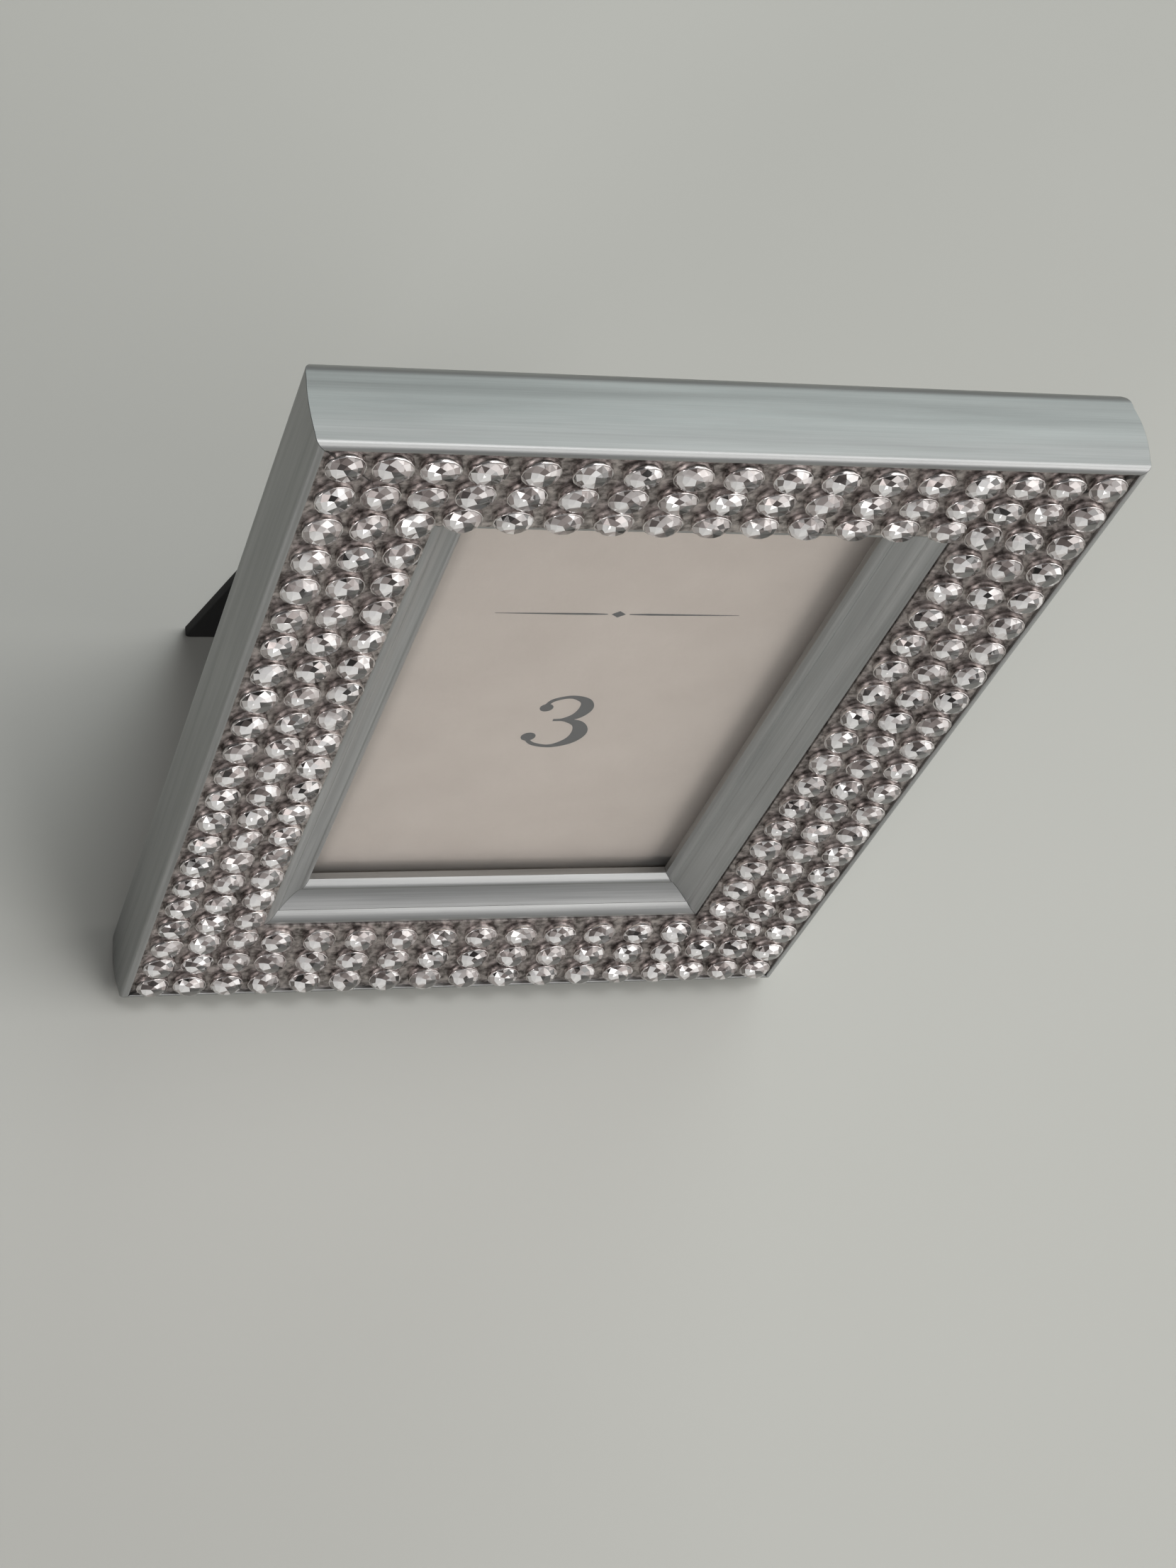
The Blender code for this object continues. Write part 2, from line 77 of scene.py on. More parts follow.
def feed(tree, socket, value):
    # a value that is a socket is linked, any other is set
    if isinstance(value, bpy.types.NodeSocket):
        tree.links.new(value, socket)
    else:
        socket.default_value = value


def addNode(tree, kind, values=None, **settings):
    node = tree.nodes.new(kind)
    for key, value in settings.items():
        setattr(node, key, value)
    for key, value in (values or {}).items():
        feed(tree, node.inputs[key], value)
    return node


def addMath(tree, operation, *values, clamp=False):
    node = addNode(tree, "ShaderNodeMath", dict(enumerate(values)), operation=operation, use_clamp=clamp)
    return node.outputs["Value"]


def addVectorMath(tree, operation, *values, result="Vector"):
    node = addNode(tree, "ShaderNodeVectorMath", dict(enumerate(values)), operation=operation)
    return node.outputs[result]


def addRamp(tree, source, *stops):
    node = addNode(tree, "ShaderNodeValToRGB", {"Fac": source})
    ramp = node.color_ramp
    while len(ramp.elements) < len(stops):
        ramp.elements.new(0.5)
    for element, (position, colour) in zip(ramp.elements, stops):
        element.position = position
        element.color = (*colour, 1.0)
    return node.outputs["Color"]


def addRange(tree, source, low, high, fromLow=0.0, fromHigh=1.0):
    values = {"Value": source, "From Min": fromLow, "From Max": fromHigh, "To Min": low, "To Max": high}
    return addNode(tree, "ShaderNodeMapRange", values).outputs["Result"]


def addBump(tree, source, strength, distance):
    values = {"Height": source, "Strength": strength, "Distance": distance}
    return addNode(tree, "ShaderNodeBump", values).outputs["Normal"]


def addAttribute(tree, name, output):
    return addNode(tree, "ShaderNodeAttribute", attribute_name=name).outputs[output]


def addMapping(tree, vector, scale, turn=0.0):
    values = {"Vector": vector, "Scale": scale, "Rotation": (turn, 0.0, 0.0)}
    return addNode(tree, "ShaderNodeMapping", values).outputs["Vector"]


def addNoise(tree, vector, scale, detail=3.0, roughness=0.55):
    values = {"Vector": vector, "Scale": scale, "Detail": detail, "Roughness": roughness}
    return addNode(tree, "ShaderNodeTexNoise", values).outputs["Fac"]


def objectNoise(tree, pattern, stretch=(1.0, 1.0, 1.0), turn=0.0):
    # a pattern is a noise's scale, detail and roughness
    where = addNode(tree, "ShaderNodeTexCoord").outputs["Object"]
    return addNoise(tree, addMapping(tree, where, stretch, turn), *pattern)


def addTone(tree, first, second, look):
    # two patterns added up, from the dark colour to the light one
    tone = addRange(tree, addMath(tree, "ADD", first, second), 0.0, 1.0, *look["tone"])
    return addRamp(tree, tone, (0.0, look["dark"]), (1.0, look["light"]))


def newFinish(name):
    finish = bpy.data.materials.new(name)
    finish.use_nodes = True
    return finish, finish.node_tree


def setShader(tree, values):
    for key, value in values.items():
        feed(tree, tree.nodes["Principled BSDF"].inputs[key], value)


def setPattern(tree, look):
    # one pattern gives the colour and the roughness
    pattern = objectNoise(tree, look["pattern"])
    setShader(tree, {
        "Base Color": addRamp(tree, pattern, *look["ramp"]),
        "Roughness": addRange(tree, pattern, *look["rough"])})
    return pattern


# objects, meshes and pieces

def newObject(name, data):
    made = bpy.data.objects.new(name, data)
    bpy.context.scene.collection.objects.link(made)
    return made


def dropObjects(*things):
    for thing in things:
        bpy.data.objects.remove(thing, do_unlink=True)


def meshFrom(name, bm):
    mesh = bpy.data.meshes.new(name)
    bm.to_mesh(mesh)
    bm.free()
    return mesh


def bmeshFrom(mesh):
    bm = bmesh.new()
    bm.from_mesh(mesh)
    bpy.data.meshes.remove(mesh)
    return bm


def weldVerts(bm):
    bmesh.ops.remove_doubles(bm, verts=bm.verts, dist=weld)


def faceOutwards(bm):
    bmesh.ops.recalc_face_normals(bm, faces=bm.faces)


def looseShape(name, bm):
    return newObject(name, meshFrom(name, bm))


def plainMesh(thing):
    bpy.context.view_layer.update()
    graph = bpy.context.evaluated_depsgraph_get()
    return bpy.data.meshes.new_from_object(thing.evaluated_get(graph), preserve_all_data_layers=True,
                                           depsgraph=graph)


def markSharp(bm, angle):
    for face in bm.faces:
        face.smooth = True
    for edge in bm.edges:
        edge.smooth = len(edge.link_faces) == 2 and edge.calc_face_angle(0.0) < math.radians(angle)


def addMeshPiece(name, mesh, body, replaced=()):
    mesh.name = name
    piece = newObject(name, mesh)
    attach(piece, body)
    if replaced:
        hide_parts(*replaced)


def addPiece(name, bm, finish, matrix, body, replaced=(), angle=35.0):
    bm.transform(matrix)
    weldVerts(bm)
    faceOutwards(bm)
    markSharp(bm, angle)
    mesh = meshFrom(name, bm)
    mesh.materials.append(finish)
    addMeshPiece(name, mesh, body, replaced)


def arcPoints(radius, start, end, steps, centre=(0.0, 0.0)):
    angles = [math.radians(start + (end - start) * i / steps) for i in range(steps + 1)]
    return [(centre[0] + radius * math.cos(a), centre[1] + radius * math.sin(a)) for a in angles]


def ringPoints(radius, steps, start=0.0, centre=(0.0, 0.0)):
    return arcPoints(radius, start, start + 360.0, steps, centre)[:-1]


def roundedOutline(corners, steps=4):
    # each corner is (a, b, radius); a radius of 0 leaves it sharp
    outline = []
    for i, (a, b, radius) in enumerate(corners):
        corner = Vector((a, b))
        if radius <= 0.0:
            outline.append((a, b))
            continue
        before = (Vector(corners[i - 1][:2]) - corner).normalized()
        after = (Vector(corners[(i + 1) % len(corners)][:2]) - corner).normalized()
        half = 0.5 * before.angle(after)
        middle = corner + (before + after).normalized() * radius / math.sin(half)
        first = corner + before * radius / math.tan(half) - middle
        last = corner + after * radius / math.tan(half) - middle
        for k in range(steps + 1):
            way = first.lerp(last, k / steps).normalized() * radius
            outline.append(tuple(middle + way))
    return outline


def plateMesh(name, outlines, thickness, edge, edgeSteps=2):
    # flat plate with rounded edges, from closed outlines, holes included
    curve = bpy.data.curves.new(name, "CURVE")
    curve.dimensions = "2D"
    curve.fill_mode = "BOTH"
    curve.bevel_depth = edge
    curve.bevel_resolution = edgeSteps
    curve.offset = -edge
    curve.extrude = 0.5 * thickness - edge
    for outline in outlines:
        spline = curve.splines.new("POLY")
        spline.points.add(len(outline) - 1)
        for point, (a, b) in zip(spline.points, outline):
            point.co = (a, b, 0.0, 1.0)
        spline.use_cyclic_u = True
    shape = newObject(name, curve)
    bm = bmeshFrom(plainMesh(shape))
    dropObjects(shape)
    weldVerts(bm)
    return bm


def turnedMesh(profile, steps):
    # radius and height turned about z
    bm = bmesh.new()
    verts = [bm.verts.new((r, 0.0, z)) for r, z in profile]
    edges = [bm.edges.new(pair) for pair in zip(verts[:-1], verts[1:])]
    bmesh.ops.spin(bm, geom=verts + edges, axis=(0.0, 0.0, 1.0), cent=(0.0, 0.0, 0.0),
                   angle=2.0 * math.pi, steps=steps, use_merge=True)
    weldVerts(bm)
    bmesh.ops.holes_fill(bm, edges=bm.edges, sides=0)
    faceOutwards(bm)
    return bm


def headMesh(look):
    # a stem under a domed head, for a head radius of 1
    high = look["rise"] / look["head"]
    stem = look["stem"] / look["head"]
    long = look["long"] / look["head"]
    brim = look["brim"]
    profile = [(0.0, -long), (stem, -long), (stem, 0.0), *look["under"]]
    for angle in look["dome"]:
        turn = math.radians(angle)
        profile.append((math.cos(turn), brim + (high - brim) * math.sin(turn)))
    profile.append((0.0, high))
    return turnedMesh(profile, look["sides"])


def thicken(bm, offset):
    grown = bmesh.ops.extrude_face_region(bm, geom=bm.faces[:])
    moved = [item for item in grown["geom"] if isinstance(item, bmesh.types.BMVert)]
    bmesh.ops.translate(bm, verts=moved, vec=offset)


def cutBox(shape, middle, size):
    # the box that is returned has to stay until the shape is made a plain mesh
    box = bmesh.new()
    bmesh.ops.create_cube(box, size=1.0, matrix=Matrix.Translation(middle) @ Matrix.Diagonal((*size, 1.0)))
    cutter = looseShape(shape.name + "Cutter", box)
    cut = shape.modifiers.new("cut", "BOOLEAN")
    cut.operation = "DIFFERENCE"
    cut.solver = "EXACT"
    cut.object = cutter
    return cutter


# finishes

brushed = {
    "dark": (0.333, 0.337, 0.336), "light": (0.494, 0.500, 0.497), "tone": (0.65, 1.35),
    "rough": (0.42, 0.54), "roughEnds": (0.3, 0.7), "lengthwise": 0.5, "bump": (0.12, 0.03 * mm),
    "stretch": 0.35, "hair": (55.0, 1.0, 5.0, 0.6), "cloud": (7.0, 1.0, 3.0, 0.5),  # across, then a pattern
}


def makeBrushedSilver():
    finish, tree = newFinish("brushedSilver")
    grain = addNode(tree, "ShaderNodeUVMap", uv_map="grain").outputs["UV"]  # u along the rail, v round it

    def streaks(across, *pattern):
        return addNoise(tree, addMapping(tree, grain, (brushed["stretch"], across, 1.0)), *pattern)

    hair = streaks(*brushed["hair"])
    tangent = addNode(tree, "ShaderNodeTangent", direction_type="UV_MAP", uv_map="grain")
    setShader(tree, {
        "Base Color": addTone(tree, hair, streaks(*brushed["cloud"]), brushed),
        "Roughness": addRange(tree, hair, *brushed["rough"], *brushed["roughEnds"]),
        "Metallic": 1.0,
        "Anisotropic": brushed["lengthwise"],
        "Tangent": tangent.outputs["Tangent"],
        "Normal": addBump(tree, hair, *brushed["bump"])})
    return finish


foil = {
    "ramp": ((0.08, (0.016, 0.012, 0.010)), (0.28, (0.160, 0.130, 0.121)), (0.46, (0.395, 0.343, 0.327)),
             (0.66, (0.75, 0.71, 0.695)), (0.82, (0.97, 0.955, 0.95))),
    "plain": 0.45, "strength": (0.6, 1.6),  # the middle tone, and how far a stone strays from it
    # a painted highlight on the left of each stone and a painted shade on its right, the same on every stone
    "paintedLightLobes": ((-0.55, -0.05, 0.45, 0.14), (0.30, 0.15, 0.45, -0.25)),  # x, y, width and gain
    # a painted highlight at the upper left of each stone and a painted shade just right of its middle
    "paintedLightMarks": ((-0.44, 0.24, 0.22, 0.34, 0.95), (0.22, 0.02, 0.22, 0.46, -0.65)),  # x, y, inner, outer, gain
    "shift": (0.25, -0.2, 0.0), "cut": 0.8,  # the tone of a facet moves the painted highlight and shade, cut breaks them up
    "dome": (2.1, 2.1, 0.0), "clear": 1.0, "skin": 1.95, "gloss": 0.03,
    "film": (900.0, 2.0), "rough": (0.06, 0.16), "metal": 0.15, "index": 1.45,
}


def makeFoiledStone():
    finish, tree = newFinish("foiledStone")
    tone = addMath(tree, "SUBTRACT", addAttribute(tree, "facetTone", "Fac"), foil["plain"])
    # a painted highlight and a painted shade on each stone, broken where the facets meet
    flat = addVectorMath(tree, "MULTIPLY", addAttribute(tree, "cut", "Vector"), (1.0, 1.0, 0.0))
    moved = addVectorMath(tree, "MULTIPLY_ADD", tone, foil["shift"], flat)
    for x, y, inner, outer, gain in foil["paintedLightMarks"]:
        gap = addVectorMath(tree, "DISTANCE", moved, (x, y, 0.0), result="Value")
        tone = addMath(tree, "ADD", tone, addRange(tree, gap, gain, 0.0, inner, outer))
    strength = addRange(tree, addAttribute(tree, "stoneTone", "Fac"), *foil["strength"])
    total = addMath(tree, "MULTIPLY_ADD", tone, strength, foil["plain"], clamp=True)
    film = objectNoise(tree, foil["film"])
    # a clear polished skin over the foil, which faces like a steeper dome
    skin = addNode(tree, "ShaderNodeVectorTransform", {"Vector": addAttribute(tree, "dome", "Vector")},
                   vector_type="NORMAL", convert_from="OBJECT", convert_to="WORLD")
    setShader(tree, {
        "Base Color": addRamp(tree, total, *foil["ramp"]),
        "Roughness": addRange(tree, film, *foil["rough"]),
        "Metallic": foil["metal"],
        "IOR": foil["index"],
        "Coat Normal": skin.outputs["Vector"],
        "Coat Weight": foil["clear"],
        "Coat IOR": foil["skin"],
        "Coat Roughness": foil["gloss"]})
    return finish


metals = {
    "stoneCup": {"dark": (0.52, 0.48, 0.47), "light": (0.86, 0.82, 0.81), "ends": (0.40, 0.60),
                 "rough": (0.14, 0.26), "grain": (700.0, 700.0, 700.0), "turn": 0.0},
    "stripSilver": {"dark": (0.12, 0.104, 0.098), "light": (0.62, 0.565, 0.545), "ends": (0.36, 0.64),
                    "rough": (0.35, 0.55), "grain": (1100.0, 1100.0, 1100.0), "turn": 0.0},
    "hingeSteel": {"dark": (0.34, 0.345, 0.35), "light": (0.55, 0.555, 0.56), "ends": (0.25, 0.75),
                   "rough": (0.26, 0.42), "grain": (60.0, 2600.0, 2600.0), "turn": stand["lean"]},
    "zincPlate": {"dark": (0.44, 0.44, 0.43), "light": (0.66, 0.66, 0.645), "ends": (0.25, 0.75),
                  "rough": (0.30, 0.48), "grain": (500.0, 2200.0, 500.0), "turn": stand["lean"]},
}
metalGrain = {
    "streak": (1.0, 4.0, 0.6), "cloud": (260.0, 4.0), "cloudEnds": (0.25, 0.75), "bump": (0.10, 0.03 * mm),
}


def makeMetal(name):
    look = metals[name]
    finish, tree = newFinish(name)
    streak = objectNoise(tree, metalGrain["streak"], look["grain"], look["turn"])
    cloud = objectNoise(tree, metalGrain["cloud"])
    dark, light = look["ends"]
    setShader(tree, {
        "Base Color": addRamp(tree, streak, (dark, look["dark"]), (light, look["light"])),
        "Roughness": addRange(tree, cloud, *look["rough"], *metalGrain["cloudEnds"]),
        "Metallic": 1.0,
        "Normal": addBump(tree, streak, *metalGrain["bump"])})
    return finish


paper = {
    "dark": (0.590, 0.511, 0.453), "light": (0.673, 0.593, 0.530), "tone": (0.6, 1.4), "rough": (0.62, 0.80),
    "lay": (1.0, 1.0, 0.35), "fibre": (5200.0, 4.0, 0.65), "pulp": (140.0, 3.0), "bump": (0.15, 0.02 * mm),
}


def makePaper():
    finish, tree = newFinish("cardStock")
    fibre = objectNoise(tree, paper["fibre"], paper["lay"], stand["lean"])
    pulp = objectNoise(tree, paper["pulp"])
    setShader(tree, {
        "Base Color": addTone(tree, fibre, pulp, paper),
        "Roughness": addRange(tree, fibre, *paper["rough"]),
        "Normal": addBump(tree, fibre, *paper["bump"])})
    return finish


ink = {
    "ramp": ((0.30, (0.035, 0.034, 0.036)), (0.75, (0.085, 0.080, 0.080))),
    "pattern": (6500.0, 3.0, 0.7), "rough": (0.45, 0.65),
}


def makeInk():
    finish, tree = newFinish("printingInk")
    setPattern(tree, ink)
    return finish


blacks = {
    "blackBoard": {"dark": (0.010, 0.010, 0.011), "light": (0.030, 0.029, 0.030),
                   "sheen": 0.05, "nap": (2600.0, 5.0, 0.7)},
    "blackFlock": {"dark": (0.004, 0.004, 0.0045), "light": (0.013, 0.0125, 0.013),
                   "sheen": 0.03, "nap": (4200.0, 5.0, 0.7)},
}
napped = {
    "tone": (0.65, 1.4), "patch": (90.0, 3.0), "rough": (0.75, 0.95),
    "sheenRough": 0.4, "shine": 0.25, "bump": (0.45, 0.05 * mm),
}


def makeBlackFlock(name):
    look = {**napped, **blacks[name]}
    finish, tree = newFinish(name)
    nap = objectNoise(tree, look["nap"])
    patch = objectNoise(tree, look["patch"])
    setShader(tree, {
        "Base Color": addTone(tree, nap, patch, look),
        "Roughness": addRange(tree, nap, *look["rough"]),
        "Sheen Weight": look["sheen"],
        "Sheen Roughness": look["sheenRough"],
        "Specular IOR Level": look["shine"],
        "Normal": addBump(tree, nap, *look["bump"])})
    return finish


pane = {
    "ramp": ((0.3, (0.86, 0.90, 0.90)), (0.7, (0.92, 0.94, 0.94))),
    "pattern": (60.0, 4.0), "rough": (0.02, 0.07), "alpha": (0.05, 0.08),
}


def makePane():
    finish, tree = newFinish("clearPane")
    smear = setPattern(tree, pane)
    setShader(tree, {"Alpha": addRange(tree, smear, *pane["alpha"])})
    return finish


brushedSilver = makeBrushedSilver()
foiledStone = makeFoiledStone()
stoneCup, stripSilver, hingeSteel, zincPlate = [makeMetal(name) for name in metals]
cardStock = makePaper()
printingInk = makeInk()
blackBoard, blackFlock = [makeBlackFlock(name) for name in blacks]
clearPane = makePane()
print("finishes made")


# rails: one moulded section, run along each side and mitred

rail = {
    "frontRound": 0.72 * mm, "backRound": 1.82 * mm, "bulge": 0.3 * mm, "crisp": 0.12 * mm,
    "rimIn": 1.15 * mm, "seatIn": 3.45 * mm, "seatDepth": 0.63 * mm, "seatSlope": math.tan(math.radians(6.0)),
    "floorDrop": 0.8 * mm,
    "lipIn": 14.35 * mm, "lipDepth": 1.944 * mm, "lipEdge": 0.8 * mm, "lipRound": 0.05 * mm,
    "narrow": (1.5 * mm, 1.0 * mm), "crease": 0.1 * mm,  # pairs are the step inwards and the step back
    "cove": (2.1 * mm, 1.45 * mm), "coveSag": 0.16 * mm,
    "bead": (1.0 * mm, 0.75 * mm), "beadRise": 0.12 * mm,
    "rebateIn": 14.75 * mm, "channelIn": 2.7 * mm, "channelWide": 3.0 * mm, "channelDeep": 1.7 * mm,
    "mitreGap": 0.03 * mm, "sharp": 30.0, "cuts": 9, "cornerSteps": 6, "roundSteps": 8,
    "coveSteps": 12, "sideSteps": 14, "grain": 100.0,  # 1 on the grain map is 10 mm
}


def seatDepth(inward):
    return rail["seatDepth"] + rail["seatSlope"] * (inward - rail["seatIn"])


def shares(steps, first=0):
    return [i / steps for i in range(first, steps + 1)]


def lipCorners():
    # narrow round, cove and bead, from the stones to the edge of the opening
    lipIn, lipDepth = rail["lipIn"], rail["lipDepth"]
    narrowIn, narrowBack = rail["narrow"]
    coveIn, coveBack = rail["cove"]
    beadIn, beadBack = rail["bead"]
    coveStart = lipIn + narrowIn + rail["crease"]
    coveDepth = lipDepth + narrowBack
    beadStart = coveStart + coveIn
    beadDepth = coveDepth + coveBack
    edgeIn = beadStart + beadIn
    edgeDepth = beadDepth + beadBack
    under = edgeDepth + rail["lipEdge"]
    corners = [(lipDepth, lipIn, rail["crisp"])]
    for t in shares(rail["roundSteps"], 2):
        corners.append((lipDepth + narrowBack * t * t, lipIn + narrowIn * t, 0.0))
    for t in shares(rail["coveSteps"]):
        sag = rail["coveSag"] * 4.0 * t * (1.0 - t)
        corners.append((coveDepth + coveBack * t + sag, coveStart + coveIn * t, 0.0))
    for t in shares(rail["roundSteps"], 1)[:-1]:
        lift = rail["beadRise"] * 6.75 * t * (1.0 - t) ** 2  # 6.75 makes the highest point equal to beadRise
        corners.append((beadDepth + beadBack * t * t - lift, beadStart + beadIn * t, 0.0))
    corners += [(edgeDepth, edgeIn, 0.0), (under, edgeIn, rail["lipRound"]), (under, rail["rebateIn"], 0.0)]
    return corners


def railOutline():
    # (depth, distance in from the outer side), from the outer front edge over the front to the back
    depth = stand["depth"]
    crisp = rail["crisp"]
    rimIn = rail["rimIn"]
    lipIn = rail["lipIn"]
    channelEnd = rail["channelIn"] + rail["channelWide"]
    channelFloor = depth - rail["channelDeep"]
    corners = [
        (0.0, rail["bulge"], rail["frontRound"]),
        (0.0, rimIn, crisp),
        (seatDepth(rimIn) + rail["floorDrop"], rimIn, 0.0),
        (seatDepth(lipIn) + rail["floorDrop"], lipIn, 0.0),
        *lipCorners(),
        (depth, rail["rebateIn"], crisp),
        (depth, channelEnd, crisp),
        (channelFloor, channelEnd, 0.0),
        (channelFloor, rail["channelIn"], 0.0),
        (depth, rail["channelIn"], crisp),
        (depth, rail["bulge"], rail["backRound"]),
    ]
    span = depth - rail["backRound"] - rail["frontRound"]
    for t in shares(rail["sideSteps"], 1)[-2::-1]:
        corners.append((rail["frontRound"] + span * t, rail["bulge"] * (2.0 * t - 1.0) ** 2, 0.0))
    return roundedOutline(corners, rail["cornerSteps"])


def railMesh(length, shift):
    outline = railOutline()
    around = [0.0]
    for (a, b), (c, d) in zip(outline, outline[1:] + outline[:1]):
        around.append(around[-1] + math.hypot(c - a, d - b))
    bm = bmesh.new()
    grain = bm.loops.layers.uv.new("grain")

    def lay(loop, u, v):
        loop[grain].uv = (u * rail["grain"] + shift, v * rail["grain"] + shift)

    rings = []
    for t in shares(rail["cuts"] - 1):
        side = 2.0 * t - 1.0
        rings.append([bm.verts.new((side * (0.5 * length - inward - rail["mitreGap"]), deep, inward))
                      for deep, inward in outline])
    count = len(outline)
    for ring, following in zip(rings[:-1], rings[1:]):
        for i in range(count):
            j = (i + 1) % count
            face = bm.faces.new((ring[i], ring[j], following[j], following[i]))
            for loop, v in zip(face.loops, (around[i], around[i + 1], around[i + 1], around[i])):
                lay(loop, loop.vert.co.x, v)
    for ring in (rings[0], rings[-1]):
        cap = bm.faces.new(ring)
        for loop in cap.loops:
            lay(loop, loop.vert.co.z, loop.vert.co.y)
        bmesh.ops.triangulate(bm, faces=[cap])
    return bm


def addRail(name, node, length, middle, turn, shift):
    # the shift keeps two rails from sharing their streaks
    matrix = place @ Matrix.Translation(middle) @ Matrix.Rotation(turn, 4, "Y")
    addPiece(name, railMesh(length, shift), brushedSilver, matrix, "frame", [node], rail["sharp"])


addRail("railBottom", "bottom_rail", stand["width"], (0.0, 0.0, 0.0), 0.0, 0.0)
addRail("railRight", "right_rail", stand["height"], (halfWidth, 0.0, halfHeight), -quarter, 23.0)
addRail("railTop", "top_rail", stand["width"], (0.0, 0.0, stand["height"]), math.pi, 47.0)
addRail("railLeft", "left_rail", stand["height"], (-halfWidth, 0.0, halfHeight), quarter, 71.0)
print("rails made")


# Geometry Nodes: one shape set on points that carry the way they face

def newTree(name, inputs):
    tree = bpy.data.node_groups.new(name, "GeometryNodeTree")
    for kind, names in inputs.items():
        for socket in names:
            tree.interface.new_socket(socket, in_out="INPUT", socket_type="NodeSocket" + kind)
    tree.interface.new_socket("Geometry", in_out="OUTPUT", socket_type="NodeSocketGeometry")
    given = {socket.name: socket for socket in addNode(tree, "NodeGroupInput").outputs}
    return tree, given, addNode(tree, "NodeGroupOutput").inputs["Geometry"]


def ofKind(sockets, dataType, name=None):
    # some nodes have a socket for each kind of data under one name
    kind = {"FLOAT": "VALUE", "FLOAT_VECTOR": "VECTOR", "QUATERNION": "ROTATION"}[dataType]
    return [socket for socket in sockets if socket.type == kind and name in (None, socket.name)][0]


def readAttribute(tree, name, dataType):
    node = addNode(tree, "GeometryNodeInputNamedAttribute", {"Name": name}, data_type=dataType)
    return ofKind(node.outputs, dataType)


def storeAttribute(tree, geometry, name, dataType, domain, value):
    node = addNode(tree, "GeometryNodeStoreNamedAttribute", {"Geometry": geometry, "Name": name},
                   data_type=dataType, domain=domain)
    feed(tree, ofKind(node.inputs, dataType), value)
    return node.outputs["Geometry"]


def paintGeometry(tree, geometry, finish):
    values = {"Geometry": geometry, "Material": finish}
    return addNode(tree, "GeometryNodeSetMaterial", values).outputs["Geometry"]


def settingTree():
    tree, given, result = newTree("setOnPoints", {
        "Geometry": ["Geometry"], "Object": ["shape"], "Int": ["seed"], "Material": ["finish"],
        "Float": ["size", "sizeSpread", "spin", "tilt", "jitter"]})

    def randomValue(low, high, step):
        seed = addMath(tree, "ADD", given["seed"], float(step))
        node = addNode(tree, "FunctionNodeRandomValue", {"Seed": seed}, data_type="FLOAT")
        feed(tree, ofKind(node.inputs, "FLOAT", "Min"), low)
        feed(tree, ofKind(node.inputs, "FLOAT", "Max"), high)
        return ofKind(node.outputs, "FLOAT")

    def eitherWay(socket, step):
        reach = given[socket]
        return randomValue(addMath(tree, "MULTIPLY", reach, -1.0), reach, step)

    facing = readAttribute(tree, "facing", "FLOAT_VECTOR")
    aim = addNode(tree, "FunctionNodeAlignRotationToVector", {"Vector": facing}, axis="Z")
    rotation = aim.outputs["Rotation"]
    for step, axis, socket in ((1, rightWay, "tilt"), (2, backWay, "tilt"), (3, upWay, "spin")):
        turn = addNode(tree, "FunctionNodeAxisAngleToRotation",
                       {"Axis": axis, "Angle": eitherWay(socket, step)})
        both = {"Rotation": rotation, "Rotate By": turn.outputs["Rotation"]}
        rotated = addNode(tree, "FunctionNodeRotateRotation", both, rotation_space="LOCAL")
        rotation = rotated.outputs["Rotation"]

    less = addMath(tree, "SUBTRACT", 1.0, given["sizeSpread"])
    more = addMath(tree, "ADD", 1.0, given["sizeSpread"])
    scale = addMath(tree, "MULTIPLY", given["size"], randomValue(less, more, 4))
    shape = addNode(tree, "GeometryNodeObjectInfo", {"Object": given["shape"], "As Instance": True})
    copies = addNode(tree, "GeometryNodeInstanceOnPoints", {
        "Points": given["Geometry"], "Instance": shape.outputs["Geometry"],
        "Rotation": rotation, "Scale": scale})
    turned = addNode(tree, "GeometryNodeInputInstanceRotation").outputs["Rotation"]
    made = storeAttribute(tree, copies.outputs["Instances"], "stoneTone", "FLOAT", "INSTANCE",
                          randomValue(0.0, 1.0, 5))
    made = storeAttribute(tree, made, "turned", "QUATERNION", "INSTANCE", turned)
    made = addNode(tree, "GeometryNodeRealizeInstances", {"Geometry": made}).outputs["Geometry"]
    # the painted light and shade of each facet, with a random tone added
    tone = addMath(tree, "ADD", readAttribute(tree, "foilTone", "FLOAT"), eitherWay("jitter", 6))
    made = storeAttribute(tree, made, "facetTone", "FLOAT", "FACE", tone)

    # "cut" is the spot on the stone, drawn towards the middle of its facet
    spot = readAttribute(tree, "spot", "FLOAT_VECTOR")
    facet = addNode(tree, "GeometryNodeFieldOnDomain", {"Value": spot},
                    data_type="FLOAT_VECTOR", domain="FACE")
    own = addVectorMath(tree, "MULTIPLY", spot, (1.0 - foil["cut"],) * 3)
    cut = addVectorMath(tree, "MULTIPLY_ADD", facet.outputs["Value"], (foil["cut"],) * 3, own)
    made = storeAttribute(tree, made, "cut", "FLOAT_VECTOR", "CORNER", cut)
    # "dome" is the way the clear skin faces, cut like the facets and steeper
    slope = addVectorMath(tree, "MULTIPLY_ADD", cut, foil["dome"], upWay)
    skin = addNode(tree, "FunctionNodeRotateVector", {
        "Vector": slope, "Rotation": readAttribute(tree, "turned", "QUATERNION")})
    made = storeAttribute(tree, made, "dome", "FLOAT_VECTOR", "CORNER", skin.outputs["Vector"])

    tree.links.new(paintGeometry(tree, made, given["finish"]), result)
    return tree


setOnPoints = settingTree()


